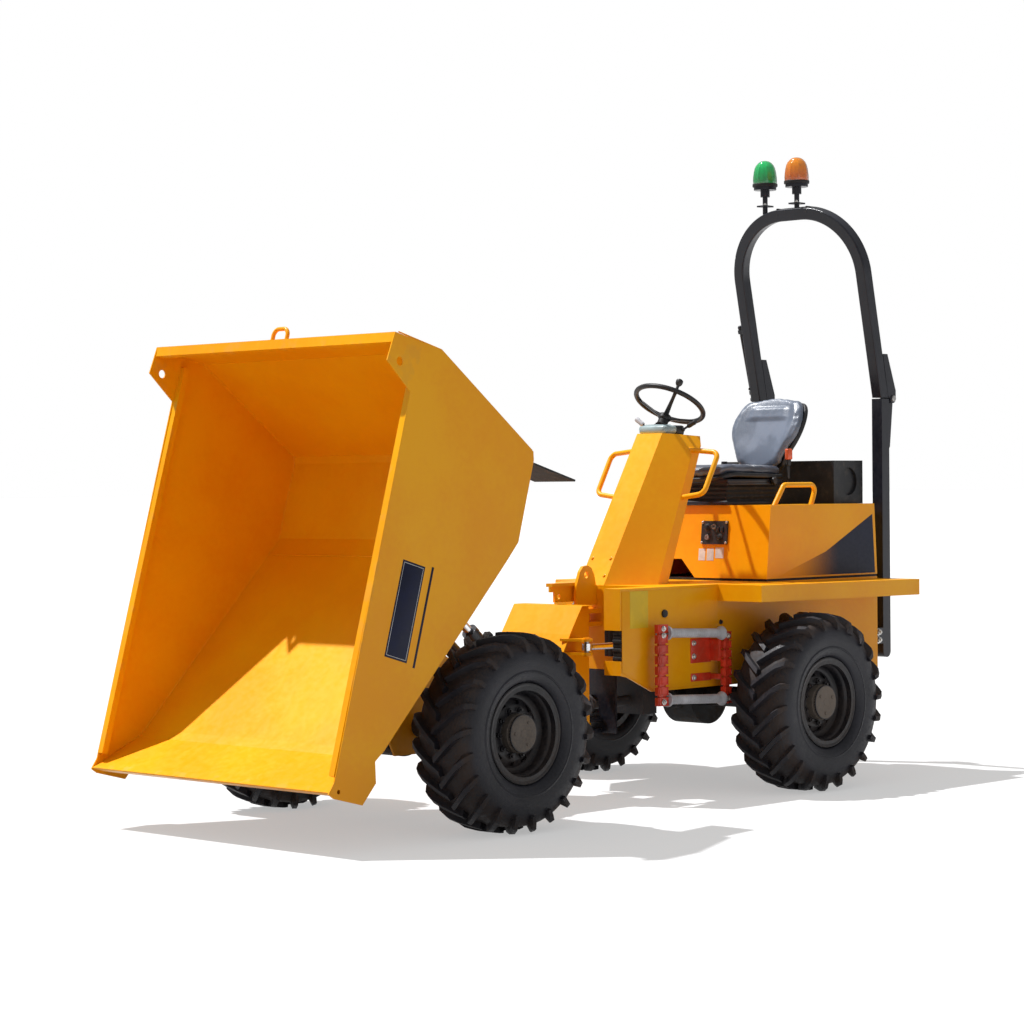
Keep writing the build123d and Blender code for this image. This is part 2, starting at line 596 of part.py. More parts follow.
lean = radians(rops_lean)
hoop_rise = (rops_top_z - rops_joint_z) / cos(lean)
mid_y = rops_half_width - rops_tube / 2
hoop_path = FilletPolyline(
    Vector(0, mid_y, -30), Vector(0, mid_y, hoop_rise - rops_tube / 2), Vector(0, -mid_y, hoop_rise - rops_tube / 2),
    Vector(0, -mid_y, -30), radius=rops_corner - rops_tube / 2)
section = Plane(origin=hoop_path @ 0, z_dir=hoop_path % 0, x_dir=(1, 0, 0)) * RectangleRounded(rops_tube, rops_tube, 8)
hoop = sweep(section, path=hoop_path)
hoop_place = Pos(rops_rear_x + rops_tube / 2, 0, rops_joint_z) * Rotation(0, rops_lean, 0)
hoop = hoop_place * hoop
under = block((rops_rear_x - 200, rops_rear_x + 300), (-600, 600), (rops_joint_z - 100, rops_joint_z + clear / 2))
hoop = hoop - under
plate_gap = clear
clevis_outline = [
    (rops_rear_x + 2, rops_joint_z + 5), (rops_pin_x + rops_lug_radius, rops_joint_z), (rops_pin_x - rops_lug_radius, rops_joint_z),
    (rops_pin_x - rops_lug_radius, rops_joint_z + 40), (rops_rear_x + 10, rops_joint_z + 225),
    (rops_rear_x + 225 * tan(lean), rops_joint_z + 225), (rops_rear_x + 5 * tan(lean) + 3, rops_joint_z + 5)]
clevis = []
for y in ((pin_lug_y[1] + plate_gap, post_y[1]), (post_y[0], pin_lug_y[0] - plate_gap)):
    plate = side_prism(clevis_outline, y) + cross_bar(rops_pin_x, rops_joint_z, rops_lug_radius, y)
    clevis.append(plate - cross_bar(rops_pin_x, rops_joint_z, rops_pin_radius + running, (y[0] - 1, y[1] + 1)))
hoop = joined([hoop] + clevis + [mirror(c, about=Plane.XZ) for c in clevis])
rod_y = -mid_y - rops_tube / 2
lock_rod = bar((0, rod_y - 12, 25), (0, rod_y - 28, 395), 9)
for rise, out in ((45, 20), (372, 38)):
    lock_rod = lock_rod + block((-12, 12), (rod_y - out, rod_y + 1), (rise, rise + 20))
hoop = hoop + hoop_place * lock_rod
keep("rops_hoop", hoop)

# ==== beacons on the hoop
top_x = rops_rear_x + rops_tube / 2 + (hoop_rise - rops_tube / 2) * sin(lean)
mounts = []
beacon_table = [("beacon_green", -183), ("beacon_amber", 24)]
lens_profile = [(0, 3003), (62, 3003), (62, 3032), (57, 3070), (45, 3102), (24, 3122), (0, 3128)]
for name, y in beacon_table:
    foot = block((top_x - 34, top_x + 34), (y - 28, y + 28), (rops_top_z + 18, rops_top_z + 26))
    stem = upright(top_x, y, 13, (rops_top_z - 20, 2950)) + upright(top_x, y, 24, (2940, 2978))
    cup = upright(top_x, y, 58, (2976, 3003))
    mount = joined([foot, stem, cup]) - hoop
    mounts.append(mount.solids().sort_by(SortBy.VOLUME)[-1])
    face = Face(Wire.make_polygon([Vector(top_x + r, y, z) for r, z in lens_profile], close=True))
    keep(name, Solid.revolve(face, 360, Axis((top_x, y, 3003), (0, 0, 1))))
keep("beacon_mounts", *mounts)

# ==== front chassis
front_outline = [
    (120, 360), (120, 898), (197, 898), (279, 772), (326, 690), (360, 660), (950, 660), (1290, 850), (1400, 850), (1420, 800),
    (1420, 420), (1360, 300), (1060, 300), (950, 360)]
front_side = side_prism(front_outline, (front_inner, front_half_width))
boss = cross_bar(tip_pin_x, tip_pin_z, tip_boss_radius, (front_inner - 30, front_half_width))
front_side = front_side + boss - cross_bar(tip_pin_x, tip_pin_z, tip_pin_radius + fit, (front_inner - 40, front_half_width + 5))
front_side = front_side - cross_bar(front_axle_x, axle_z, axle_tube_radius + fit, (front_inner - 5, front_half_width + 5))
rear_closing = block((120, 132), (-front_half_width, front_half_width), (290, 898))
rear_closing = rear_closing - bar((110, 0, shaft_z), (140, 0, shaft_z), shaft_radius + 15)
floor_plate = block((132, 950), (-front_inner, front_inner), (360, 368))
nose_plate = block((1408, 1418), (-front_inner, front_inner), (425, 800))
tower_cover = sheet([(122, 903), (200, 903), (284, 775), (331, 693)], -5, (-cover_half_width, cover_half_width))
pieces = [front_side, mirror(front_side, about=Plane.XZ), rear_closing, floor_plate, nose_plate, tower_cover]
for lug in (upper_lug, lower_lug):
    plate = block((0, 125), (-pivot_lug_radius, pivot_lug_radius), lug) + upright(0, 0, pivot_lug_radius, lug)
    pieces.append(plate - upright(0, 0, pivot_pin_radius + running, (lug[0] - 1, lug[1] + 1)))
steer_ear = [(205, front_half_width - 2), (315, front_half_width - 2), (285, steer_ram_eye[1]), (235, steer_ram_eye[1])]
for low in (ram_z + 25, ram_z - 37):
    pieces.append(plan_prism(steer_ear, (low, low + 12)) + upright(*steer_ram_eye, 27, (low, low + 12)))
for low, high in ((ram_z + 25, ram_z + 42), (ram_z - 42, ram_z - 25)):
    pieces.append(upright(*steer_ram_eye, ram_pin_radius + 5, (low, high)))
for y in (tip_ram_y, -tip_ram_y):
    pieces.append(cross_bar(*tip_ram_base, 15, (y - 60, y + 60)))
    for inner in (y - 35 - clear - 8, y + 35 + clear):
        if abs(inner + 4) < front_inner - 8:
            ear = block((tip_ram_base[0] - 35, tip_ram_base[0] + 35), (inner, inner + 8), (366, tip_ram_base[1]))
            pieces.append(ear + cross_bar(*tip_ram_base, 35, (inner, inner + 8)))
keep("front_chassis", joined(pieces))
keep("tip_pin", cross_bar(tip_pin_x, tip_pin_z, tip_pin_radius, (-front_half_width - 32, front_half_width + 32)))

# ==== skip, drawn level and then tipped about its pin
inner_y = skip_half_width - skip_wall


def tipped(shape):
    level = Pos(-tip_pin_u, 0, -tip_pin_v) * shape
    return Pos(tip_pin_x, 0, tip_pin_z) * (Rotation(0, tip_angle, 0) * level)


side_outline = [
    (-199, 143), (-76, 155), (7, 0), (1609, -8), (1660, 10), (1671, -23), (1667, -180), (1568, -229), (1486, -202),
    slope_end, slope_start, (433, skip_floor_v), (76, skip_floor_v), (42, -754), (-208, -128)]
skip_side = side_prism(side_outline, (inner_y, skip_half_width))
skip_side = skip_side - cross_bar(-93, 87, ear_hole_radius, (inner_y - 5, skip_half_width + 5))
skip_side = skip_side - cross_bar(1640, -41, 9, (inner_y - 5, skip_half_width + 5))
keep("skip_side_left", tipped(skip_side))
keep("skip_side_right", tipped(mirror(skip_side, about=Plane.XZ)))

rear_line = [(-199, 143), (-208, -128), (42, -754)]
floor_line = [(42, -754), (76, skip_floor_v), (433, skip_floor_v), slope_start]
slope_line = [slope_start, slope_end, lip_foot, lip_top]
whole_line = rear_line[:-1] + floor_line[:-1] + slope_line
inside_line = offset_line(whole_line, skip_wall)


def panel_of(first, last):
    return side_prism(whole_line[first:last + 1] + inside_line[first:last + 1][::-1], (-inner_y, inner_y))


rear_panel = panel_of(0, 2)
rear_panel = rear_panel + block((-199 + skip_wall / 2, -199 + rear_rail), (-inner_y, inner_y), (143 - skip_wall, 143))
rear_panel = rear_panel + block((-199 + rear_rail - skip_wall, -199 + rear_rail), (-inner_y, inner_y), (112, 143))
keep("skip_rear_wall", tipped(rear_panel))
keep("skip_floor", tipped(panel_of(2, 5)))
lip_back = lip_foot[0] + (lip_top[0] - lip_foot[0]) * (-58 - lip_foot[1]) / (lip_top[1] - lip_foot[1])
front_panel = panel_of(5, 8)
front_panel = front_panel + block((lip_top[0] - skip_wall, lip_top[0]), (-inner_y, inner_y), (-58, lip_top[1] - 2))
front_panel = front_panel + block((lip_back, lip_top[0]), (-inner_y, inner_y), (-58, -58 + skip_wall))
keep("skip_front_slope", tipped(front_panel))

rail_top = block((-150, 1585), (inner_y - rim_rail, inner_y), (-skip_wall - 4, -4))
rail_in = block((-150, 1585), (inner_y - rim_rail, inner_y - rim_rail + skip_wall), (-rim_rail - 4, -4))
keep("skip_rim_rails", *[tipped(r) for r in both_sides(rail_top + rail_in)])

slope_rate = (slope_end[1] - slope_start[1]) / (slope_end[0] - slope_start[0])


def slope_at(u):
    return slope_start[1] + (u - slope_start[0]) * slope_rate


bracket_y = (front_half_width + 7, front_half_width + 23)
bracket_outline = [
    (545, slope_at(545)), (1120, slope_at(1120)), (1120, slope_at(1120) - 30), (902, -730), (849, -765), (700, -760), (545, -745)]
bracket = side_prism(bracket_outline, bracket_y) + cross_bar(tip_pin_u, tip_pin_v, 55, bracket_y)
bracket = bracket - cross_bar(tip_pin_u, tip_pin_v, tip_pin_radius + running, (bracket_y[0] - 5, bracket_y[1] + 5))
eye_u = tip_pin_u + tip_ram_eye[0]
eye_v = tip_pin_v + tip_ram_eye[1]
ear_outline = [slope_start, (eye_u + 90, slope_at(eye_u + 90)), (eye_u + 31, eye_v), (eye_u - 31, eye_v)]
brackets = both_sides(bracket)
ram_ears = []
for y in (tip_ram_y, -tip_ram_y):
    pair = []
    for low in (y - 34, y + 24):
        pair.append(side_prism(ear_outline, (low, low + 10)) + cross_bar(eye_u, eye_v, 31, (low, low + 10)))
    for low in (y - 40, y + 24):
        pair.append(cross_bar(eye_u, eye_v, 20, (low, low + 16)))
    ram_ears.append(joined(pair))
keep("skip_pivot_brackets", *[tipped(b) for b in brackets + ram_ears])

loop_tube = bent_tube([(-190, -45, 95), (-262, -45, 95), (-262, 45, 95), (-190, 45, 95)], 30, 9)
keep("lifting_loop", tipped(loop_tube - side_prism([(-198.5, 160), (-180, 160), (-180, 0), (-203.85, 0)], (-80, 80))))

flap = block((80, 88), (500, 740), (-1060, skip_floor_v))
keep("mudflaps", *[tipped(f) for f in both_sides(flap)])

# ==== rams, drawn where they stand with the skip tipped and the steering straight
tip = radians(tip_angle)
eye_x = tip_pin_x + tip_ram_eye[0] * cos(tip) + tip_ram_eye[1] * sin(tip)
eye_z = tip_pin_z - tip_ram_eye[0] * sin(tip) + tip_ram_eye[1] * cos(tip)


def ram(base, eye, barrel, radius, rod, pin_radius, eye_radius, half, rod_inner, base_pin_radius):
    axis = (eye - base).normalized()
    across = Vector(0, 1, 0) if abs(axis.Y) < 0.01 else Vector(0, 0, 1)
    base_eye = bar(tuple(base - across * half), tuple(base + across * half), eye_radius)
    tube = bar(tuple(base + axis * eye_radius * 0.7), tuple(base + axis * barrel), radius)
    outer = base_eye + tube + bar(tuple(base + axis * (barrel - 30)), tuple(base + axis * barrel), radius + 2)
    outer = outer - bar(tuple(base - across * (half + 5)), tuple(base + across * (half + 5)), base_pin_radius + running)
    outer = outer - bar(tuple(base + axis * (eye_radius + 25)), tuple(base + axis * (barrel + 5)), rod + running)
    rod_bar = bar(tuple(base + axis * rod_inner), tuple(eye - axis * eye_radius * 0.7), rod)
    rod_eye = bar(tuple(eye - across * half * 0.6), tuple(eye + across * half * 0.6), eye_radius * 0.9)
    inner = rod_bar + rod_eye - bar(tuple(eye - across * (half + 5)), tuple(eye + across * (half + 5)), pin_radius + running)
    return outer, inner


barrels = []
rods = []
for y in (tip_ram_y, -tip_ram_y):
    base = Vector(tip_ram_base[0], y, tip_ram_base[1])
    eye = Vector(eye_x, y, eye_z)
    outer, inner = ram(base, eye, tip_ram_barrel, tip_ram_radius, tip_rod_radius, 15, 32, 30, 470, 15)
    barrels.append(outer)
    rods.append(inner)
keep("tip_ram_barrels", *barrels)
keep("tip_ram_rods", *rods)

base = Vector(*steer_ram_base, steer_ram_z)
eye = Vector(*steer_ram_eye, steer_ram_z)
outer, inner = ram(base, eye, steer_ram_barrel, steer_ram_radius, steer_rod_radius, ram_pin_radius, 26, 26, 275, ram_pin_radius)
keep("steer_ram_barrel", outer)
keep("steer_ram_rod", inner)

os.makedirs("parts", exist_ok=True)
for name, shape in nodes.items():
    export_step(Pos(pivot_x, 0, 0) * shape, "parts/" + name + ".step")
    box = (Pos(pivot_x, 0, 0) * shape).bounding_box()
    print(f"{name:24s} {len(shape.solids())} {shape.volume / 1e6:9.3f}  x {box.min.X:8.1f} {box.max.X:8.1f}  y {box.min.Y:7.1f} {box.max.Y:7.1f}  z {box.min.Z:7.1f} {box.max.Z:7.1f}")
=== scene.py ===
import math

import bmesh
import bpy
from mathutils import Matrix, Vector


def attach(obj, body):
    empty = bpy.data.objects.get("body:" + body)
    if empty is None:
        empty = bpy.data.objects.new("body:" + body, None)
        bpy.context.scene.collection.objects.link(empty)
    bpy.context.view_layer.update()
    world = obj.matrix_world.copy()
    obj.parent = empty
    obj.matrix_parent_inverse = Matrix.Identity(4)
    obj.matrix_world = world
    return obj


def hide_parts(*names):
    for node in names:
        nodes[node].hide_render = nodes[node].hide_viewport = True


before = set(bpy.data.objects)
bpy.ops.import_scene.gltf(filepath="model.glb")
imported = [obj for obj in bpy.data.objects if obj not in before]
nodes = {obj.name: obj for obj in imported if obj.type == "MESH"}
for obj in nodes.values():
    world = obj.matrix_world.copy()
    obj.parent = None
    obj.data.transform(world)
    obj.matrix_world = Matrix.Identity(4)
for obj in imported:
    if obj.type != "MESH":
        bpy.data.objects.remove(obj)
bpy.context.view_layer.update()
print("frame loaded")

# places on the machine, turned profiles and bolts are in millimetres, the other sizes in metres
machine = {
    "pivotX": -0.155,  # metres, where the steering pivot lies along the machine
    "tipAngle": 74.05, "tipPin": (1349, 0, 838), "pinInSkip": (0.849, 0, -0.712),
    "frontAxle": 1212, "rearAxle": -850, "wheelY": 698.5, "axleZ": 422.5, "plateY": 450}


def at(x, y, z):
    # millimetres from the steering pivot, on the ground
    return Vector((x / 1000 + machine["pivotX"], y / 1000, z / 1000))


# pieces of the skip are drawn level, u along its rim and v up, then tipped about the pin
tipAngle = math.radians(machine["tipAngle"])
skipPlace = Matrix.Translation(at(*machine["tipPin"])) @ Matrix.Rotation(tipAngle, 4, "Y")
skipPlace = skipPlace @ Matrix.Translation(-Vector(machine["pinInSkip"]))


# camera
view = {
    "place": (9.39569 + machine["pivotX"], 8.67091, 1.46474), "turn": (89.41555, 0.5011, 134.04637),
    "lens": 95.577, "sensor": 36}
bpy.ops.object.camera_add(location=view["place"], rotation=[math.radians(a) for a in view["turn"]])
camera = bpy.context.object
camera.name = "camera"
camera.data.lens = view["lens"]
camera.data.sensor_width = view["sensor"]
bpy.context.scene.camera = camera


bench = {"tree": None}  # the node tree that is being built


class Value:
    # a socket that can be added, multiplied and so on
    def __init__(self, socket):
        self.socket = socket

    def __add__(self, other): return maths("ADD", self, other)
    def __sub__(self, other): return maths("SUBTRACT", self, other)
    def __rsub__(self, other): return maths("SUBTRACT", other, self)
    def __mul__(self, other): return maths("MULTIPLY", self, other)


def add(kind, settings=None, sockets=None, output=0):
    # one node with its settings, then what goes into its sockets
    tree = bench["tree"]
    node = tree.nodes.new(kind)
    for name, value in (settings or {}).items():
        setattr(node, name, value)
    for name, value in (sockets or {}).items():
        if isinstance(value, Value):
            tree.links.new(value.socket, node.inputs[name])
        elif isinstance(value, tuple) and node.inputs[name].type == "RGBA":
            node.inputs[name].default_value = (*value, 1)
        else:
            node.inputs[name].default_value = value
    return Value(node.outputs[output])


def maths(operation, *values):
    return add("ShaderNodeMath", {"operation": operation}, dict(enumerate(values)))


def vectorMaths(operation, *values, output=0):
    return add("ShaderNodeVectorMath", {"operation": operation}, dict(enumerate(values)), output)


def startTree(owner):
    # a material or world with no nodes yet
    owner.use_nodes = True
    owner.node_tree.nodes.clear()
    bench["tree"] = owner.node_tree
    return owner


def startMaterial(name):
    return startTree(bpy.data.materials.new(name))


def objectPlace():
    return add("ShaderNodeTexCoord", output=3)


def axisOf(axis):
    return add("ShaderNodeSeparateXYZ", None, {0: objectPlace()}, output="XYZ".index(axis))


def stretched(stretch=(1, 1, 1)):
    return add("ShaderNodeMapping", None, {0: objectPlace(), 3: stretch})


def noise(scale, detail=3.0, rough=0.5, stretch=(1, 1, 1)):
    sockets = {"Vector": stretched(stretch), "Scale": scale, "Detail": detail, "Roughness": rough}
    return add("ShaderNodeTexNoise", None, sockets)


def band(value, low, high, bottom=0.0, top=1.0):
    # smooth change from bottom to top while value goes from low to high
    sockets = {0: value, 1: low, 2: high, 3: bottom, 4: top}
    return add("ShaderNodeMapRange", {"interpolation_type": "SMOOTHSTEP"}, sockets)


def mixColour(factor, first, second):
    return add("ShaderNodeMix", {"data_type": "RGBA"}, {0: factor, 6: first, 7: second}, output=2)


def finishTree(surface, kind="ShaderNodeOutputMaterial"):
    bench["tree"].links.new(surface.socket, bench["tree"].nodes.new(kind).inputs[0])


def shader(colour, roughness, bump, **fixed):
    # bump is (value, strength, distance)
    value, strength, distance = bump
    relief = add("ShaderNodeBump", None, {"Strength": strength, "Distance": distance, "Height": value})
    sockets = {"Base Color": colour, "Roughness": roughness, "Normal": relief}
    for name, value in fixed.items():
        sockets[name.replace("_", " ")] = value
    finishTree(add("ShaderNodeBsdfPrincipled", None, sockets))


# finishes
yellow = {
    "colour": (0.95, 0.425, 0.002), "deep": (0.91, 0.355, 0.001), "roughness": 0.36, "dust": (0.5, 0.3, 0.11),
    "scuff": (0.42, 0.24, 0.1), "scuffAmount": 0.12, "scuffWidth": 0.008, "coat": 0.06, "peel": 0.16}


def yellowPaint(name, dustLow=0.35, dustHigh=0.75, dustAmount=0.16, wearLine=None):
    material = startMaterial(name)
    broad = noise(2.2, 3, 0.55)
    fine = noise(38, 4, 0.6)
    streak = noise(9, 4, 0.6, (1.6, 1.6, 0.35))
    mottle = band(broad * 0.75 + fine * 0.25, 0.36, 0.66)
    colour = mixColour(mottle, yellow["deep"], yellow["colour"])
    low = band(axisOf("Z"), dustLow, dustHigh, 1.0, 0.0)
    dust = low * band(streak, 0.4, 0.72) * dustAmount
    colour = mixColour(dust, colour, yellow["dust"])
    smooth, rough = yellow["roughness"] - 0.06, yellow["roughness"] + 0.1
    roughness = band(fine * 0.6 + streak * 0.4, 0.3, 0.75, smooth, rough) + dust * 0.5
    if wearLine:
        # scuffed paint near a line, where a * x + b * z + c passes start
        a, b, c, start = wearLine
        across = vectorMaths("DOT_PRODUCT", objectPlace(), (a, 0.0, b), output=1) + c
        edge = across + noise(60, 6, 0.72, (1, 0.25, 1)) * 0.03
        worn = band(edge, start, start + yellow["scuffWidth"]) * band(noise(14, 3), 0.52, 0.66)
        colour = mixColour(worn * yellow["scuffAmount"], colour, yellow["scuff"])
        roughness = roughness + worn * 0.2
    peel = noise(420, 2, 0.5) * 0.12 + noise(5, 2, 0.5) * 0.9
    shader(colour, roughness, (peel, yellow["peel"], 0.004),
           Coat_Weight=yellow["coat"], Coat_Roughness=0.15, Specular_IOR_Level=0.24)
    return material


def darkPaint(name, colour, dust, roughness, dustLow, dustHigh, dustAmount, coat):
    material = startMaterial(name)
    broad = noise(4.5, 4, 0.6)
    fine = noise(70, 5, 0.65)
    lift = tuple(min(1, c * 1.8 + 0.003) for c in colour)
    base = mixColour(band(broad * 0.6 + fine * 0.4, 0.35, 0.68), colour, lift)
    low = band(axisOf("Z"), dustLow, dustHigh, 1.0, 0.12)
    dusty = low * band(broad * 0.5 + fine * 0.5, 0.42, 0.64) * dustAmount
    base = mixColour(dusty, base, dust)
    rough = band(fine, 0.3, 0.7, roughness - 0.07, roughness + 0.12) + dusty * 0.4
    shader(base, rough, (noise(300, 3, 0.55), 0.14, 0.002),
           Coat_Weight=coat, Coat_Roughness=0.2, Metallic=0.0, Specular_IOR_Level=0.3)
    return material


def metalFinish(name, colour, roughness, stain=(0.16, 0.12, 0.08), amount=0.35):
    material = startMaterial(name)
    lines = noise(160, 4, 0.6)
    spots = noise(22, 4, 0.6)
    base = mixColour(band(lines, 0.3, 0.7), tuple(c * 0.78 for c in colour), colour)
    base = mixColour(band(spots, 0.52, 0.74) * amount, base, stain)
    rough = band(lines * 0.5 + spots * 0.5, 0.3, 0.7, roughness - 0.06, roughness + 0.14)
    shader(base, rough, (lines, 0.12, 0.001), Metallic=1.0)
    return material


def plasticFinish(name, colour, roughness=0.45, grain=520, depth=0.2, dust=(0.3, 0.24, 0.17), amount=0.12,
                  coat=0.0, specular=0.35, spread=0.18):
    material = startMaterial(name)
    fine = noise(grain, 2, 0.5)
    broad = noise(12, 4, 0.6)
    dull, bright = [tuple(min(1, c * (1 + change)) for c in colour) for change in (-spread, spread)]
    base = mixColour(band(broad, 0.35, 0.68), dull, bright)
    base = mixColour(band(noise(30, 5, 0.7), 0.5, 0.75) * amount, base, dust)
    rough = band(fine * 0.4 + broad * 0.6, 0.3, 0.7, roughness - 0.06, roughness + 0.1)
    shader(base, rough, (fine, depth, 0.001),
           Coat_Weight=coat, Coat_Roughness=0.08, Specular_IOR_Level=specular)
    return material


tyreLook = {
    "rubber": (0.007, 0.008, 0.013), "worn": (0.017, 0.019, 0.029), "dust": (0.07, 0.045, 0.03),
    "roughness": 0.55, "sideRings": 900.0}


def tyreRubber(name, centre):
    material = startMaterial(name)
    outward = vectorMaths("SUBTRACT", objectPlace(), centre)
    radius = vectorMaths("LENGTH", vectorMaths("MULTIPLY", outward, (1.0, 0.0, 1.0)), output=1)
    broad = noise(7, 4, 0.6)
    fine = noise(90, 5, 0.65)
    worn = band(broad * 0.5 + fine * 0.5, 0.36, 0.66)
    base = mixColour(worn, tyreLook["rubber"], tyreLook["worn"])
    groove = band(radius, 0.386, 0.412, 1.0, 0.25) * band(radius, 0.33, 0.375, 0.12, 1.0)
    dusty = groove * band(broad * 0.4 + fine * 0.6, 0.34, 0.6)
    base = mixColour(dusty * 0.6, base, tyreLook["dust"])
    side = band(radius, 0.33, 0.36, 1.0, 0.0)
    rings = maths("SINE", radius * tyreLook["sideRings"]) * side * 0.12
    smooth, rough = tyreLook["roughness"] - 0.1, tyreLook["roughness"] + 0.1
    roughness = band(fine, 0.3, 0.7, smooth, rough) + dusty * 0.2 - side * 0.1
    shader(base, roughness, (fine * 0.8 + rings, 0.35, 0.002), Specular_IOR_Level=0.32)
    return material


def vinylFinish(name, colour, deep):
    material = startMaterial(name)
    sockets = {"Vector": stretched(), "Scale": 420.0, "Randomness": 1.0}
    cells = add("ShaderNodeTexVoronoi", {"feature": "DISTANCE_TO_EDGE"}, sockets)
    crease = band(cells, 0.0, 0.22)
    broad = noise(9, 3, 0.5)
    base = mixColour(band(broad, 0.38, 0.64), deep, colour)
    # darker along the grain's creases, a painted shade in them
    base = mixColour((1 - crease) * 0.35, base, tuple(c * 0.6 for c in deep))
    rough = band(broad * 0.5 + noise(60, 3) * 0.5, 0.35, 0.65, 0.3, 0.42)
    shader(base, rough, (crease * 0.7 + noise(40, 2) * 0.3, 0.22, 0.0008),
           Coat_Weight=0.3, Coat_Roughness=0.22)
    return material


def lensFinish(name, colour, deep):
    # darker at its foot, with fine rings
    material = startMaterial(name)
    shade = mixColour(band(axisOf("Z"), 3.0, 3.12), deep, colour)
    rough = band(noise(60, 3), 0.3, 0.7, 0.05, 0.14)
    shader(shade, rough, (maths("SINE", axisOf("Z") * 1500.0), 0.25, 0.001),
           Transmission_Weight=0.35, IOR=1.46, Coat_Weight=1.0, Coat_Roughness=0.04)
    return material


bodyYellow = yellowPaint("bodyYellow")
rearYellow = yellowPaint("rearYellow", 0.5, 0.8, 0.12)
# the line of the skip's rim, and how far inside it the scuffs start
rimSlope, rimRise, rimCorner = math.sin(tipAngle), math.cos(tipAngle), skipPlace @ Vector((0, 0, 0))
rimLine = (rimSlope, rimRise, -(rimSlope * rimCorner.x + rimRise * rimCorner.z), -0.006)
skipYellow = yellowPaint("skipYellow", 0.02, 0.35, 0.12, rimLine)
# dark paints: colour, dust, roughness, heights where the dust ends, its amount, coat
satinBlack = darkPaint("satinBlack", (0.006, 0.007, 0.013), (0.08, 0.055, 0.038), 0.36, 0.3, 1.1, 0.25, 0.22)
axleBlack = darkPaint("axleBlack", (0.012, 0.012, 0.013), (0.1, 0.07, 0.045), 0.6, 0.1, 0.9, 0.7, 0.0)
wheelBlack = darkPaint("wheelBlack", (0.008, 0.008, 0.011), (0.11, 0.075, 0.05), 0.42, 0.1, 0.9, 0.35, 0.1)
hubDust = darkPaint("hubDust", (0.095, 0.08, 0.068), (0.2, 0.155, 0.12), 0.55, 0.1, 1.2, 0.6, 0.0)
machineGrey = darkPaint("machineGrey", (0.045, 0.045, 0.05), (0.14, 0.1, 0.07), 0.6, 0.1, 1.2, 0.6, 0.0)
# metals: colour, roughness, stain and its amount
chrome = metalFinish("chromeRod", (0.78, 0.78, 0.8), 0.14, (0.4, 0.4, 0.42), 0.1)
pinSteel = metalFinish("pinSteel", (0.42, 0.41, 0.4), 0.38)
zinc = metalFinish("zincBolt", (0.62, 0.61, 0.58), 0.36, (0.3, 0.22, 0.13), 0.35)
# plastics and rubber: colour, roughness, grain and its depth, dust and its amount, coat, specular, spread
blackRubber = plasticFinish("blackRubber", (0.016, 0.016, 0.017), 0.62, 260, 0.3, (0.12, 0.09, 0.06), 0.4)
blackPlastic = plasticFinish("blackPlastic", (0.02, 0.021, 0.024), 0.42)
dashSilver = plasticFinish("dashSilver", (0.36, 0.46, 0.48), 0.3, 300, 0.1, (0.3, 0.26, 0.2), 0.12, 0.4)
paleGrip = plasticFinish("paleGrip", (0.52, 0.52, 0.56), 0.35, 240, 0.12, (0.3, 0.26, 0.2), 0.2, 0.3)
redPlastic = plasticFinish("redPlastic", (0.66, 0.045, 0.016), 0.38, 200, 0.2, (0.5, 0.2, 0.12), 0.35, 0.2)
buckleRed = plasticFinish("buckleRed", (0.8, 0.12, 0.03), 0.35, 200, 0.1, (0.4, 0.2, 0.1), 0.1, 0.3)
rungGrey = plasticFinish("rungGrey", (0.5, 0.5, 0.53), 0.42, 180, 0.2, (0.3, 0.24, 0.18), 0.35)
navyBlank = plasticFinish("navyBlank", (0.005, 0.008, 0.032), 0.45, 400, 0.04, (0.1, 0.09, 0.08), 0.04, 0.0, 0.2)
paleLabel = plasticFinish("paleLabel", (0.66, 0.66, 0.64), 0.45, 400, 0.04, (0.4, 0.34, 0.25), 0.2, 0.3)
labelYellow = plasticFinish(
    "labelYellow", (0.78, 0.5, 0.02), 0.42, 400, 0.04, (0.3, 0.22, 0.1), 0.03, 0.05, 0.25, 0.05)
gaugeFace = plasticFinish("gaugeFace", (0.03, 0.03, 0.035), 0.2, 300, 0.04, (0.2, 0.2, 0.2), 0.05, 0.8)
seatVinyl = vinylFinish("seatVinyl", (0.195, 0.23, 0.305), (0.13, 0.158, 0.215))
# the cushion's vinyl is a darker copy of the seat's vinyl, a painted shade on the cushion
shadedCushionVinyl = vinylFinish("shadedCushionVinyl", (0.095, 0.11, 0.15), (0.06, 0.07, 0.098))
greenLens = lensFinish("greenLens", (0.012, 0.62, 0.16), (0.0, 0.3, 0.07))
amberLens = lensFinish("amberLens", (0.98, 0.32, 0.006), (0.7, 0.13, 0.0))
print("finishes made")

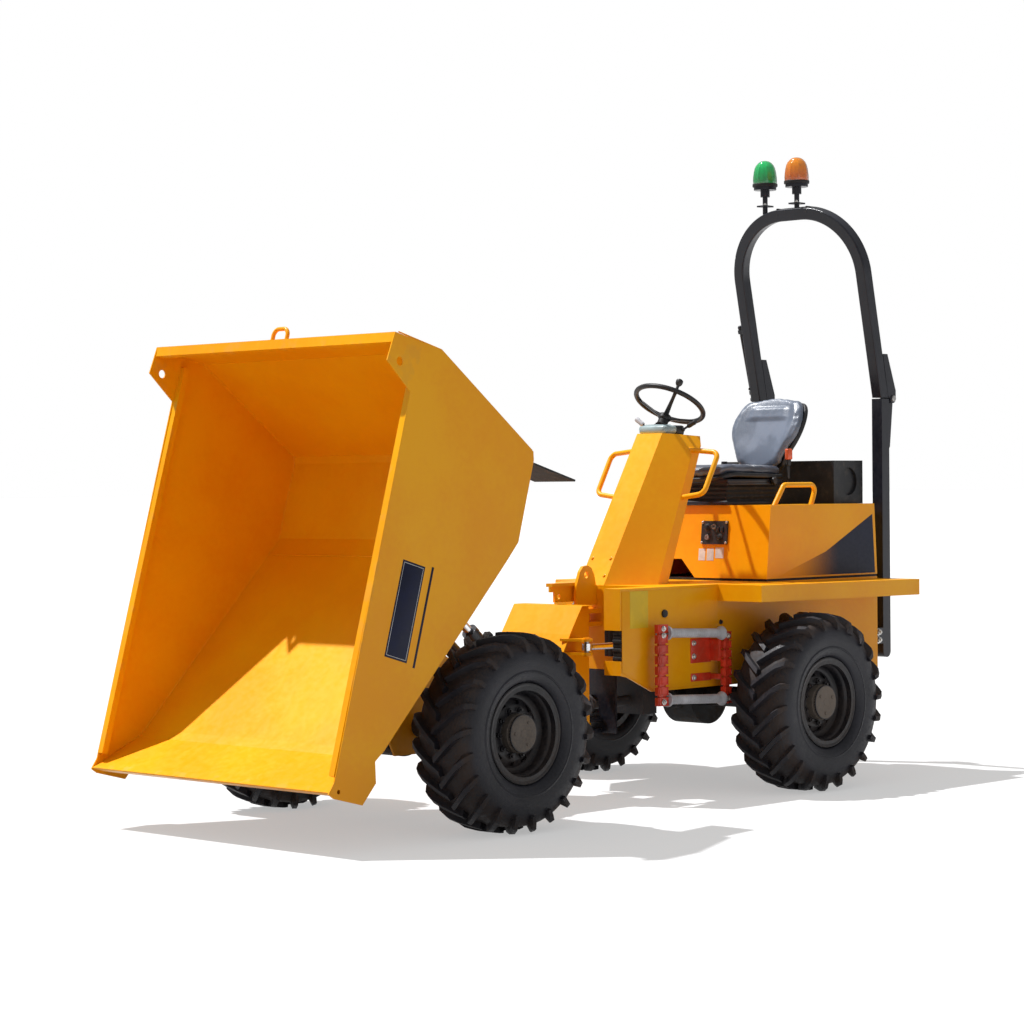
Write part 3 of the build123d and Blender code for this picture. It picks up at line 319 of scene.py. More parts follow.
wheelPlaces = {  # along the machine, and which side
    "front_left": (machine["frontAxle"], 1), "front_right": (machine["frontAxle"], -1),
    "rear_left": (machine["rearAxle"], 1), "rear_right": (machine["rearAxle"], -1)}
carried = {
    bodyYellow: ["front_chassis"],
    rearYellow: ["rear_chassis", "rear_grille", "fenders", "seat_box", "steering_cowl", "grab_rails",
                 "articulation_lock"],
    skipYellow: ["skip_side_left", "skip_side_right", "skip_rear_wall", "skip_floor", "skip_front_slope",
                 "skip_rim_rails", "skip_pivot_brackets", "lifting_loop"],
    satinBlack: ["pivot_hanger", "rops_posts", "rops_hoop", "beacon_mounts", "tip_ram_barrels", "steer_ram_barrel"],
    wheelBlack: ["rim_" + place for place in wheelPlaces],
    axleBlack: ["front_axle", "rear_axle"],
    blackRubber: ["mudflaps", "seat_box_seal"],
    machineGrey: ["engine_block", "transmission", "front_drive_shaft", "rear_drive_shaft"],
    chrome: ["tip_ram_rods", "steer_ram_rod"],
    pinSteel: ["pivot_pins", "tip_pin"],
    blackPlastic: ["switch_panel", "intake_box", "seat_suspension", "steering_wheel", "control_levers"],
    dashSilver: ["dash_panel"],
    seatVinyl: ["seat_backrest"],
    shadedCushionVinyl: ["seat_cushion"],
    redPlastic: ["step_straps", "belt_buckle"],
    rungGrey: ["step_rungs"],
    greenLens: ["beacon_green"],
    amberLens: ["beacon_amber"]}
for finish, names in carried.items():
    for name in names:
        nodes[name].data.materials.clear()
        nodes[name].data.materials.append(finish)


def only(*pieces):
    bpy.ops.object.select_all(action="DESELECT")
    for piece in pieces:
        piece.select_set(True)
    bpy.context.view_layer.objects.active = pieces[0]


def edit(piece, kind="FACE"):
    if piece.mode != "EDIT":
        only(piece)
        bpy.ops.object.mode_set(mode="EDIT")
    bpy.ops.mesh.select_mode(type=kind)


def leave():
    bpy.ops.object.mode_set(mode="OBJECT")


def selectAll():
    bpy.ops.mesh.select_all(action="SELECT")


def pickFaces(piece, test):
    mesh = bmesh.from_edit_mesh(piece.data)
    for face in mesh.faces:
        face.select_set(bool(test(face.calc_center_median(), face.normal)))
    mesh.select_flush_mode()
    bmesh.update_edit_mesh(piece.data)


def extrude(offset):
    bpy.ops.mesh.extrude_region_move(TRANSFORM_OT_translate={"value": offset})


def resize(scale, centre):
    bpy.ops.transform.resize(value=scale, center_override=centre)


def turn(angle, axis, centre):
    bpy.ops.transform.rotate(value=-angle, orient_axis=axis, orient_type="GLOBAL", center_override=centre)


def flip(piece):
    # every face turned to point outwards
    edit(piece)
    selectAll()
    bpy.ops.mesh.normals_make_consistent(inside=False)
    leave()
    return piece


def rename(piece, name):
    piece.name = name
    piece.data.name = name
    return piece


def fresh(name, finish):
    # the primitive that was just added gets its name and finish
    piece = rename(bpy.context.object, name)
    piece.data.materials.clear()
    piece.data.materials.append(finish)
    bpy.ops.object.transform_apply(location=True, rotation=True, scale=True)
    return piece


def useModifier(piece, kind, **settings):
    only(piece)
    modifier = piece.modifiers.new(kind.lower(), kind)
    for name, value in settings.items():
        setattr(modifier, name, value)
    bpy.ops.object.modifier_apply(modifier=modifier.name)


def roundEdges(piece, width, segments=2, angle=35):
    useModifier(piece, "BEVEL", width=width, segments=segments,
                limit_method="ANGLE", angle_limit=math.radians(angle))


def shade(piece, angle=35):
    only(piece)
    bpy.ops.object.shade_smooth_by_angle(angle=math.radians(angle))
    return piece


def cube(name, low, high, finish):
    # corners are points in metres
    bpy.ops.mesh.primitive_cube_add(size=1, location=(low + high) / 2)
    bpy.context.object.scale = [abs(c) for c in high - low]
    return fresh(name, finish)


def roundedCube(low, high, finish, width=0.003, segments=2):
    piece = cube("box", low, high, finish)
    roundEdges(piece, width, segments)
    return shade(piece)


def box(low, high, finish, width=0.003, segments=2):
    # corners are millimetres from the steering pivot
    return roundedCube(at(*low), at(*high), finish, width, segments)


def drawLine(name, points, finish):
    # a line of edges through the points, left in edit mode
    bpy.ops.mesh.primitive_plane_add(size=0.01, location=(0, 0, 0))
    piece = fresh(name, finish)
    edit(piece, "VERT")
    selectAll()
    bpy.ops.mesh.merge(type="CENTER")
    bpy.ops.transform.translate(value=points[0])
    for before, point in zip(points, points[1:]):
        extrude(point - before)
    selectAll()
    return piece


def lathe(rows, finish, steps=32, axis=(0, 0, 1), smooth=35):
    # rows are (radius, distance along the axis) in millimetres from the origin; the axis is Z or Y
    points = [Vector((r, 0, up) if axis[2] else (r, up, 0)) / 1000 for r, up in rows]
    piece = drawLine("turned", points, finish)
    bpy.ops.mesh.spin(steps=steps, angle=math.tau, center=(0, 0, 0), axis=axis)
    selectAll()
    bpy.ops.mesh.remove_doubles(threshold=0.00001)
    bpy.ops.mesh.normals_make_consistent(inside=False)
    leave()
    return shade(piece, smooth)


def move(piece, matrix):
    piece.data.transform(matrix)
    piece.data.update()
    return piece


def facing(place, direction, twist=0.0):
    turned = Vector(direction).to_track_quat("Z", "Y").to_matrix().to_4x4()
    return Matrix.Translation(place) @ turned @ Matrix.Rotation(twist, 4, "Z")


def latheAt(rows, finish, steps, place, direction):
    return move(lathe(rows, finish, steps), facing(place, direction))


def bothSides(rows, steps, x, y, z):
    # steel heads on the left and the right, facing out
    return [latheAt(rows, pinSteel, steps, at(x, y * side, z), (0, side, 0)) for side in (1, -1)]


def plateOf(points, thick, finish, along, width=0.0008):
    # flat plate from its corners, in metres, thickened along a direction
    piece = drawLine("plate", [Vector(point) for point in points], finish)
    bpy.ops.mesh.edge_face_add()
    selectAll()
    extrude(Vector(along) * thick)
    selectAll()
    bpy.ops.mesh.normals_make_consistent(inside=False)
    leave()
    if width:
        roundEdges(piece, width, 2)
    return shade(piece)


def sideCorners(shape, y):
    return [at(x, y, z) for x, z in shape]


def rectangle(x0, x1, z0, z1):
    return [(x0, z0), (x1, z0), (x1, z1), (x0, z1)]


def copyTo(master, matrix, name="copy"):
    only(master)
    bpy.ops.object.duplicate(linked=False)
    return move(rename(bpy.context.object, name), matrix)


def join(name, pieces):
    only(*pieces)
    if len(pieces) > 1:
        bpy.ops.object.join()
    return rename(pieces[0], name)


def drop(piece):
    bpy.data.objects.remove(piece)


def settle(name, pieces, slot, *instead, body="rear_chassis"):
    # the pieces become one, which rides on a body and may stand in for CAD nodes
    piece = join(name, pieces)
    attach(piece, body)
    if instead:
        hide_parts(*instead)
    return piece


def hexBolt(across, tall, finish, stud=0, washer=True):
    # stands on the origin and points up; 0.577 is the corner radius for a width of 1 across the flats
    rows = [(across * r, across * z) for r, z in ((0, 0.1), (0.66, 0.1), (0.72, 0.06), (0.72, 0))]
    across, tall, stud = across / 1000, tall / 1000, stud / 1000
    bpy.ops.mesh.primitive_cylinder_add(vertices=6, radius=across * 0.577, depth=tall, location=(0, 0, tall / 2))
    piece = fresh("bolt", finish)
    edit(piece)
    pickFaces(piece, lambda c, n: n.z > 0.9)
    bpy.ops.mesh.inset(thickness=across * 0.09)
    bpy.ops.transform.translate(value=(0, 0, tall * 0.12))
    if stud:
        bpy.ops.mesh.inset(thickness=across * 0.14)
        extrude((0, 0, stud))
        bpy.ops.mesh.inset(thickness=across * 0.05)
        bpy.ops.transform.translate(value=(0, 0, across * 0.04))
    leave()
    return join("bolt", [piece, lathe(rows, finish, 14)] if washer else [piece])


def scatter(name, master, spots):
    # spots are (place, direction) or (place, direction, twist); the master goes
    copies = [copyTo(master, facing(*spot)) for spot in spots]
    drop(master)
    return join(name, copies)


def bolts(name, size, finish, spots, slot="rung_grey", body="rear_chassis"):
    # size is across the flats, height and stud
    across, tall, stud = size
    settle(name, [scatter(name, hexBolt(across, tall, finish, stud), spots)], slot, body=body)


# tyres: smooth carcass with bars in a chevron
tyre = {
    "bars": 22, "barWidth": 0.037, "barHeight": 0.031, "barTop": 0.66, "sweep": -1,
    "carcass": [
        (215, 112), (217, 125), (227, 137), (248, 145), (256, 146.2), (259, 149),
        (264, 149), (267, 147.2), (296, 150), (324, 149), (350, 142.5), (372, 131),
        (387, 110), (393.5, 70), (395.5, 0)],
    "bead": (205, 108),
    "barPath": [  # across, radius, swept angle, roll over the shoulder
        (-0.01, 0.4072, 0.0, 0.0), (0.03, 0.4072, 0.072, 0.0), (0.07, 0.4072, 0.15, 0.0),
        (0.104, 0.404, 0.222, 0.22), (0.13, 0.392, 0.276, 0.75), (0.142, 0.37, 0.304, 1.25),
        (0.145, 0.344, 0.312, 1.5)]}
mirrorY = Matrix.Scale(-1, 4, (0, 1, 0))
wheelCentres = {name: at(x, machine["wheelY"] * side, machine["axleZ"]) for name, (x, side) in wheelPlaces.items()}
tyreFinish = {name: tyreRubber("tyreRubber_" + name, tuple(centre)) for name, centre in wheelCentres.items()}


def makeBar():
    # a bar leaves the middle of the tread and turns down over the shoulder
    w, r = tyre["barPath"][0][:2]
    bpy.ops.mesh.primitive_plane_add(size=1, location=(0, w, r), rotation=(math.pi / 2, 0, 0))
    piece = fresh("bar", tyreFinish["front_left"])
    edit(piece)
    selectAll()
    resize((tyre["barWidth"], 1, tyre["barHeight"]), (0, w, r))
    edit(piece, "VERT")
    mesh = bmesh.from_edit_mesh(piece.data)
    for corner in mesh.verts:
        corner.select_set(corner.co.z > r)
    mesh.select_flush_mode()
    bmesh.update_edit_mesh(piece.data)
    resize((tyre["barTop"], 1, 1), (0, w, r))
    edit(piece)
    selectAll()
    for (w0, r0, s0, t0), (w1, r1, s1, t1) in zip(tyre["barPath"], tyre["barPath"][1:]):
        extrude((0, 0, 0))
        turn(-s0 * tyre["sweep"], "Y", (0, 0, 0))
        bpy.ops.transform.translate(value=(0, w1 - w0, r1 - r0))
        turn(-(t1 - t0), "X", (0, w1, r1))
        if w1 > 0.14:
            resize((0.9, 0.9, 0.9), (0, w1, r1))
        turn(s1 * tyre["sweep"], "Y", (0, 0, 0))
    leave()
    return flip(piece)


def makeTyre():
    half = [tyre["bead"]] + tyre["carcass"]
    rows = half + [(r, -w) for r, w in reversed(half[:-1])] + [tyre["bead"]]
    parts = [lathe(rows, tyreFinish["front_left"], 72, (0, 1, 0), 40)]
    bar = makeBar()
    other = flip(copyTo(bar, mirrorY))
    pitch = math.tau / tyre["bars"]
    for i in range(tyre["bars"]):
        parts.append(copyTo(bar, Matrix.Rotation(i * pitch, 4, "Y")))
        parts.append(copyTo(other, Matrix.Rotation((i + 0.5) * pitch, 4, "Y")))
    drop(bar)
    drop(other)
    return shade(join("tyreMaster", parts), 32)


def onWheels(master, name, slot, finish=None, instead=None):
    # one copy at each wheel, each turned a little further, and mirrored on the right side
    for n, (place, centre) in enumerate(wheelCentres.items()):
        matrix = Matrix.Translation(centre) @ Matrix.Rotation(0.35 + n * 0.77, 4, "Y")
        rightSide = centre.y < 0
        piece = copyTo(master, matrix @ mirrorY if rightSide else matrix)
        if rightSide:
            edit(piece)
            selectAll()
            bpy.ops.mesh.flip_normals()
            leave()
        if finish:
            piece.data.materials[0] = finish[place]
        replaced = [instead + place] if instead else []
        settle(name + "_" + place, [piece], slot, *replaced, body="wheel_" + place)
    drop(master)


onWheels(makeTyre(), "luggedTyre", "tyre_rubber", tyreFinish, "tyre_")
print("tyres made")


# wheel discs, hub faces and nuts
wheelFace = {
    "rows": [
        (210, 125.6), (208.5, 127.2), (201, 126.6), (195, 122.5), (188, 118), (181.2, 116.5),
        (180.6, 100), (174.5, 93), (170, 85), (169.8, 56), (164, 47), (156, 41.5),
        (148, 40), (142, 44), (120, 54.5), (114, 56), (86, 56.5), (81.5, 60),
        (81.5, 40), (148, 30), (181.2, 30), (181.2, 110), (210, 125.6)],
    "steps": 60, "recesses": 10, "recessDepth": 0.013, "nuts": 10, "nutCircle": 0.1, "nutAcross": 21}
hub = {
    "rows": [
        (0, 114.2), (16, 114.2), (17.5, 112.8), (30, 112.8), (32.5, 114), (70, 114),
        (76, 112.5), (80, 108), (80.6, 96), (82.5, 94), (82.5, 56), (0, 56)],
    "plugCircle": 0.052, "plugAngles": (0.4, 2.5, 4.6), "plugAcross": 14}


def makeWheelFace():
    piece = lathe(wheelFace["rows"], wheelBlack, wheelFace["steps"], (0, 1, 0), 30)
    edit(piece)
    every = wheelFace["steps"] // wheelFace["recesses"]

    def inRecess(c, n):
        face = round(math.degrees(math.atan2(c.z, c.x)) / (360 / wheelFace["steps"]) - 0.5)
        onRing = 0.122 < math.hypot(c.x, c.z) < 0.14 and n.y > 0.4 and c.y > 0.035
        return onRing and face % wheelFace["steps"] % every in (0, 1, 2)

    pickFaces(piece, inRecess)
    bpy.ops.mesh.inset(thickness=0.0022)
    extrude((0, -wheelFace["recessDepth"], 0))
    leave()
    return shade(piece, 30)


def ringOf(radius, y, angles, twisted=False):
    # spots round the axle, facing out
    spots = [(radius * math.cos(a), y, radius * math.sin(a)) for a in angles]
    return [(spot, (0, 1, 0), a if twisted else 0.0) for spot, a in zip(spots, angles)]


onWheels(makeWheelFace(), "wheelDisc", "black_paint")
hubPiece = lathe(hub["rows"], hubDust, 40, (0, 1, 0), 30)
plug = hexBolt(hub["plugAcross"], 4, hubDust, 0, False)
plugs = scatter("plugs", plug, ringOf(hub["plugCircle"], 0.1138, hub["plugAngles"]))
onWheels(join("hubMaster", [hubPiece, plugs]), "hubFace", "machinery")
nut = hexBolt(wheelFace["nutAcross"], 13, wheelBlack, 8)
turns = [math.tau * (i + 0.5) / wheelFace["nuts"] for i in range(wheelFace["nuts"])]
onWheels(scatter("nuts", nut, ringOf(wheelFace["nutCircle"], 0.0562, turns, True)), "wheelNuts", "machinery")
print("wheels made")


# step: two linked straps with brackets, and two rungs
step = {
    "straps": {  # from and to along the machine, bottom, top, and how deep the links are hollowed
        "stepStrapFront": (-45, 25, 440, 822, 0.003), "stepStrapRear": (-500, -444, 424, 770, 0.012)},
    "links": 8, "y": 515, "thick": 22, "brackets": ((622, 738), (536, 574)),
    "bolts": [(-306, 458, 716, 0.3), (-306, 458, 654, 0.3), (-306, 458, 555, 0.3), (-10, 529, 798, 0.1),
              (-10, 529, 768, 0.1), (-10, 529, 462, 0.1), (-472, 529, 745, 0.4), (-472, 529, 452, 0.4)],
    "rungZ": (777, 470), "rungFrom": -444, "rungTo": -45, "fall": 18, "rungRadius": 20.5,
    "ribs": 22, "ribHeight": 1.2, "ribEnds": 34, "hangers": ((-70, 777), (-425, 760))}


def makeStrap(name, low, high, bottom, top, hollow):
    # rounded links on a narrower core, each with a raised and hollowed face
    tall = (top - bottom) / step["links"]
    wide, x, y = high - low, (low + high) / 2, step["y"]
    parts = [box((x - wide * 0.34, y - 7, bottom + 6), (x + wide * 0.34, y + 7, top - 6), redPlastic, 0.004)]
    for i in range(step["links"]):
        reach = Vector((wide, step["thick"], tall * 0.8)) / 2000
        middle = at(x, y, bottom + tall * (i + 0.5))
        link = cube("link", middle - reach, middle + reach, redPlastic)
        edit(link)
        pickFaces(link, lambda c, n: abs(n.y) > 0.9)
        bpy.ops.mesh.inset(thickness=0.006, use_individual=True)
        pickFaces(link, lambda c, n: n.y > 0.9 and abs(c.x - middle.x) < wide * 0.0003)
        extrude((0, 0.004, 0))
        bpy.ops.mesh.inset(thickness=0.005)
        extrude((0, -hollow, 0))
        leave()
        roundEdges(link, 0.0028, 2)
        parts.append(link)
    return shade(settle(name, parts, "red_strap"))


def makeRung(z):
    # a ribbed bar with a collar at each end, falling a little to the rear
    long, ends, radius = step["rungTo"] - step["rungFrom"], step["ribEnds"], step["rungRadius"]
    collar = [(0, 0), (31, 0), (33, 3), (33, 10), (28, 18), (radius + 1, 30)]
    rows = list(collar)
    width = (long - ends * 2) / step["ribs"]
    for i in range(step["ribs"]):
        start = ends + width * i
        for share, rise in ((0, 0), (0.2, step["ribHeight"]), (0.55, step["ribHeight"]), (0.75, 0)):
            rows.append((radius + rise, start + width * share))
    rows += [(r, long - w) for r, w in reversed(collar)]
    start, end = at(step["rungFrom"], step["y"], z - step["fall"]), at(step["rungTo"], step["y"], z)
    return move(lathe(rows, rungGrey, 20, (0, 0, 1), 40), facing(start, end - start))


straps = [makeStrap(name, *sizes) for name, sizes in step["straps"].items()]
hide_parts("step_straps")
brackets = []
for low, high in step["brackets"]:
    brackets.append(box((-432, 450, low), (-287, 458, high), redPlastic, 0.004))
    brackets.append(box((-446, 452, low + 6), (-424, 512, high - 6), redPlastic, 0.004))
settle("stepBrackets", brackets, "red_strap")
bolts("stepBolts", (19, 8, 3), zinc, [(at(x, y, z), (0, 1, 0), t) for x, y, z, t in step["bolts"]])
rungs = [makeRung(z) for z in step["rungZ"]]
rungs += [box((x, 450, z - 12), (x + 30, 505, z + 12), rungGrey) for x, z in step["hangers"]]
settle("stepRungs", rungs, "rung_grey", "step_rungs")
print("step made")


# skip: blank label, stripe and weld beads, in metres along the rim and up
skip = {
    "label": [(0.67, 1.07, -0.267, -0.14), (0.66, 1.08, -0.316, -0.304)],  # plate and stripe: u from, to, v from, to
    "lines": [(0.678, 1.062, -0.2595, -0.2575), (0.678, 1.062, -0.1495, -0.1475),
              (0.678, 0.68, -0.2595, -0.1475), (1.06, 1.062, -0.2595, -0.1475)],
    "side": 0.761, "labelThick": 0.0008, "lineThick": 0.0002, "beadRadius": 0.0035,
    "inside": [(-0.193, 0.11), (-0.201, -0.126), (0.046, -0.748), (0.078, -0.76), (0.431, -0.76),
               (0.52, -0.715), (1.434, -0.229), (1.473, -0.2), (1.56, -0.095)],
    "outside": [(-0.206, 0.12), (-0.209, -0.128), (0.041, -0.756), (0.076, -0.768), (0.433, -0.768),
                (0.524, -0.723), (1.439, -0.237), (1.476, -0.207)],
    "insideY": 0.7545, "outsideY": 0.7555, "crossBeads": ((0.046, -0.7585), (0.52, -0.7145)),
    "bracketY": (0.192, 0.208, -0.192, -0.208), "bracketBead": ((0.548, -0.711), (1.115, -0.41), 0.004),
    "flapBolts": (0.0895, -0.79), "flapBoltY": (0.53, 0.62, 0.71)}


def skipPlates(boxes, side, out, thick, finish):
    plates = []
    for u0, u1, v0, v1 in boxes:
        corners = [(u, out * side, v) for u, v in rectangle(u0, u1, v0, v1)]
        plates.append(move(plateOf(corners, thick, finish, (0, side, 0), 0.0002), skipPlace))
    return plates


def beadAlong(start, end, radius):
    # one ripple repeated along the joint
    start, end = Vector(start), Vector(end)
    pitch = radius * 2.2
    shape = ((0.82, 0), (1, 0.35), (0.98, 0.6), (0.82, 1))
    ripple = lathe([(radius * r * 1000, pitch * z * 1000) for r, z in shape], skipYellow, 6, (0, 0, 1), 60)
    useModifier(ripple, "ARRAY", count=max(2, int((end - start).length / pitch)), use_relative_offset=False,
                use_constant_offset=True, constant_offset_displace=(0, 0, pitch),
                use_merge_vertices=True, merge_threshold=0.0001)
    edit(ripple, "EDGE")
    bpy.ops.mesh.select_all(action="DESELECT")
    bpy.ops.mesh.select_non_manifold()
    bpy.ops.mesh.fill()
    leave()
    return move(ripple, facing(start, end - start))


thick, lines = skip["labelThick"], []
for side, name in ((1, "skipLabelLeft"), (-1, "skipLabelRight")):
    plates = skipPlates(skip["label"], side, skip["side"], thick, navyBlank)
    settle(name, plates, "black_plastic", body="skip")
for side in (1, -1):
    lines += skipPlates(skip["lines"], side, skip["side"] + thick, skip["lineThick"], paleLabel)
settle("skipLabelLines", lines, "rung_grey", body="skip")
beads, radius = [], skip["beadRadius"]
for side in (1, -1):
    for line, y in ((skip["inside"], skip["insideY"] * side), (skip["outside"], skip["outsideY"] * side)):
        for a, b in zip(line, line[1:]):
            beads.append(beadAlong((a[0], y, a[1]), (b[0], y, b[1]), radius))
beads += [beadAlong((u, -0.75, v), (u, 0.75, v), radius) for u, v in skip["crossBeads"]]
(u0, v0), (u1, v1), thin = skip["bracketBead"]
beads += [beadAlong((u0, y, v0), (u1, y, v1), thin) for y in skip["bracketY"]]
move(settle("skipWelds", beads, "body_paint", body="skip"), skipPlace)
u, v = skip["flapBolts"]
uAxis = skipPlace.to_3x3() @ Vector((1, 0, 0))
spots = [(skipPlace @ Vector((u, y * side, v)), uAxis) for side in (1, -1) for y in skip["flapBoltY"]]
bolts("flapBolts", (22, 10, 4), zinc, spots, body="skip")
print("skip made")


# seat: crowned back and cushion over a black shell
backrest = {
    "centre": [(0.0, -1366, 1506), (0.2, -1392, 1596), (0.5, -1444, 1712), (0.8, -1502, 1836), (1.0, -1540, 1896)],
    "half": [(0.0, 0.14), (0.1, 0.148), (0.25, 0.176), (0.4, 0.208), (0.55, 0.222), (0.7, 0.22), (0.84, 0.203),
             (0.94, 0.172), (1.0, 0.128)],
    "wing": 0.046, "thick": 0.034, "round": 0.34, "out": 0.0, "seamWidth": 0.0075, "seamDepth": 0.0045,
    "pillow": {"from": 0.64, "to": 0.86, "across": 0.66, "rise": 0.01},
    "seams": [
        [(0.63, -0.6), (0.62, -0.3), (0.615, 0.0), (0.62, 0.3), (0.63, 0.6), (0.72, 0.7), (0.82, 0.66),
         (0.87, 0.4), (0.885, 0.0), (0.87, -0.4), (0.82, -0.66), (0.72, -0.7), (0.63, -0.6)],
        [(0.04, -0.62), (0.3, -0.66), (0.5, -0.68), (0.585, -0.5), (0.6, 0.0), (0.585, 0.5), (0.5, 0.68),
         (0.3, 0.66), (0.04, 0.62)]]}
cushion = {
    "centre": [(0.0, -1362, 1528), (0.25, -1270, 1520), (0.6, -1080, 1524), (0.85, -930, 1534), (0.95, -872, 1522),
               (1.0, -846, 1498)],
    "half": [(0.0, 0.176), (0.15, 0.198), (0.5, 0.206), (0.8, 0.204), (0.93, 0.188), (1.0, 0.15)],
    "wing": 0.012, "thick": 0.03, "round": 0.16, "out": -0.004, "seamWidth": 0.007, "seamDepth": 0.0042,
    "seams": [
        [(0.05, -0.64), (0.45, -0.66), (0.78, -0.6), (0.82, 0.0), (0.78, 0.6), (0.45, 0.66), (0.05, 0.64)],
        [(0.4, -0.64), (0.41, 0.0), (0.4, 0.64)]]}
padding = {"cells": 34, "shrink": 0.97, "voxel": 0.005, "reach": 0.01, "pressure": 4, "frames": 20, "fill": 0.8}
seatShell = {"thick": 0.022, "out": -0.036, "edge": 0.006}


def valueAt(table, s):
    # straight between the rows of a table of (s, value, ...)
    for low, high in zip(table, table[1:]):
        if s <= high[0] or high is table[-1]:
            f = min(1, max(0, (s - low[0]) / (high[0] - low[0])))
            return [a + (b - a) * f for a, b in zip(low[1:], high[1:])]


def eased(table, s):
    # the same, evened out over a short stretch
    rows = [valueAt(table, min(1, max(0, s + d))) for d in (-0.06, -0.03, 0, 0.03, 0.06)]
    return [sum(c) / len(rows) for c in zip(*rows)]


def padPoint(pad, s, t, out=0.0):
    # s runs up or forward along the pad and t across it
    x, z = eased(pad["centre"], s)
    x1, z1 = eased(pad["centre"], min(1, s + 0.04))
    x0, z0 = eased(pad["centre"], max(0, s - 0.04))
    run = Vector((x1 - x0, 0, z1 - z0)).normalized()
    normal = Vector((run.z, 0, -run.x))
    if normal.x + normal.z < 0:
        normal = -normal
    wide = eased(pad["half"], s)[0]
    lift = pad["wing"] * abs(t) ** 2.6 * math.sin(math.pi * min(1, max(0, 0.12 + s * 0.8)))
    spot = at(x, 0, z) + normal * (lift + out)
    return Vector((spot.x, wide * t, spot.z))


def padSheet(name, pad, out, shrink, thick, finish):
    # a grid laid along the pad with rounded corners, then thickened
    bpy.ops.mesh.primitive_grid_add(x_subdivisions=padding["cells"], y_subdivisions=padding["cells"], size=2)
    sheet = fresh(name, finish)
    for corner in sheet.data.vertices:
        a, b = corner.co.x, corner.co.y
        s = 0.5 + b * 0.5 * math.sqrt(1 - pad["round"] * a * a) * shrink
        t = a * math.sqrt(1 - 0.16 * b * b) * shrink
        corner.co = padPoint(pad, s, t, out)
    useModifier(sheet, "SOLIDIFY", thickness=thick, offset=0.0)
    return flip(sheet)


def inflate(piece):
    # the padding swells a little, no point further than its reach
    useModifier(piece, "REMESH", mode="VOXEL", voxel_size=padding["voxel"], use_smooth_shade=True)
    useModifier(piece, "SMOOTH", factor=0.5, iterations=6)
    rest = [corner.co.copy() for corner in piece.data.vertices]
    cloth = piece.modifiers.new("cloth", "CLOTH")
    cloth.settings.use_pressure = True
    cloth.settings.uniform_pressure_force = padding["pressure"]
    cloth.settings.effector_weights.gravity = 0
    cloth.settings.quality = 4
    cloth.point_cache.frame_start = 1
    cloth.point_cache.frame_end = padding["frames"]
    for moment in range(1, padding["frames"] + 1):
        bpy.context.scene.frame_set(moment)
    only(piece)
    bpy.ops.object.modifier_apply(modifier="cloth")
    bpy.context.scene.frame_set(1)
    for corner, home in zip(piece.data.vertices, rest):
        shift = corner.co - home
        if shift.length > padding["reach"]:
            corner.co = home + shift * (padding["reach"] / shift.length)
    useModifier(piece, "SMOOTH", factor=0.6, iterations=14)


def sew(piece, pad):
    # pulls the cover in along each seam, lines of (s, t) points
    lines = [[padPoint(pad, s, t) for s, t in seam] for seam in pad["seams"]]
    width = pad["seamWidth"]
    normals = [corner.normal.copy() for corner in piece.data.vertices]
    for corner, normal in zip(piece.data.vertices, normals):
        nearest = 1.0
        for line in lines:
            for a, b in zip(line, line[1:]):
                d = b - a
                f = min(1, max(0, (corner.co - a).dot(d) / d.length_squared))
                nearest = min(nearest, (corner.co - a - d * f).length)
        if nearest < width * 4:
            corner.co -= normal * pad["seamDepth"] * math.exp(-(nearest / width) ** 2)
    piece.data.update()


def softStep(value):
    held = min(1, max(0, value))
    return held * held * (3 - 2 * held)


def raisePillow(piece, pad):
    # lifts the front of the pad between two heights, with a soft edge
    pillow = pad["pillow"]
    s0, s1 = pillow["from"], pillow["to"]
    low, high = padPoint(pad, s0, 0).z, padPoint(pad, s1, 0).z
    normals = [corner.normal.copy() for corner in piece.data.vertices]
    for corner, normal in zip(piece.data.vertices, normals):
        f = (corner.co.z - low) / (high - low)
        t = abs(corner.co.y) / eased(pad["half"], s0 + (s1 - s0) * min(1, max(0, f)))[0]
        inside = softStep(min(f, 1 - f) * 3.2) * softStep((pillow["across"] - t) * 4)
        if normal.x > 0.3:
            corner.co += normal * pillow["rise"] * inside
    piece.data.update()


shells = []
for name, pad, finish, node in (("seatBack", backrest, seatVinyl, "seat_backrest"),
                                ("seatCushion", cushion, shadedCushionVinyl, "seat_cushion")):
    cover = padSheet(name, pad, pad["out"], padding["shrink"], pad["thick"], finish)
    inflate(cover)
    if "pillow" in pad:
        raisePillow(cover, pad)
    sew(cover, pad)
    useModifier(cover, "SUBSURF", levels=1, render_levels=1)
    settle(name, [cover], "seat_vinyl", node)
for pad in (backrest, cushion):
    shell = padSheet("shell", pad, seatShell["out"], 1.0, seatShell["thick"], blackPlastic)
    roundEdges(shell, seatShell["edge"], 2, 50)
    shells.append(shade(shell, 50))
settle("seatShells", shells, "black_plastic")
print("seat made")


# seat suspension: bellows between two plates, slide rails and a dial
suspension = {
    "low": (-1296, -180, 1372), "high": (-896, 180, 1462), "folds": 4, "depth": 0.012, "corner": 0.045, "foot": 0.008,
    "plates": [((-1308, -188, 1353), (-882, 188, 1370)), ((-1308, -196, 1462), (-882, 196, 1480))],
    "railY": (-196, 184), "dialPlace": (-1230, 196, 1471),
    "dial": [(0, 0), (17, 0), (19, 3), (19, 16), (16, 21), (7, 23), (0, 23)]}
low, high = at(*suspension["low"]), at(*suspension["high"])
long, wide = high.x - low.x, high.y - low.y
middleX, tall = (low.x + high.x) / 2, (high.z - low.z) / suspension["folds"] / 2
footLow = low - Vector((0, 0, suspension["foot"]))
folds = cube("folds", footLow, Vector((high.x, high.y, low.z)), blackRubber)
roundEdges(folds, suspension["corner"], 4, 80)
edit(folds)
pickFaces(folds, lambda c, n: n.z > 0.95)
inset = suspension["depth"] * 2
inward = ((long - inset) / long, (wide - inset) / wide, 1)
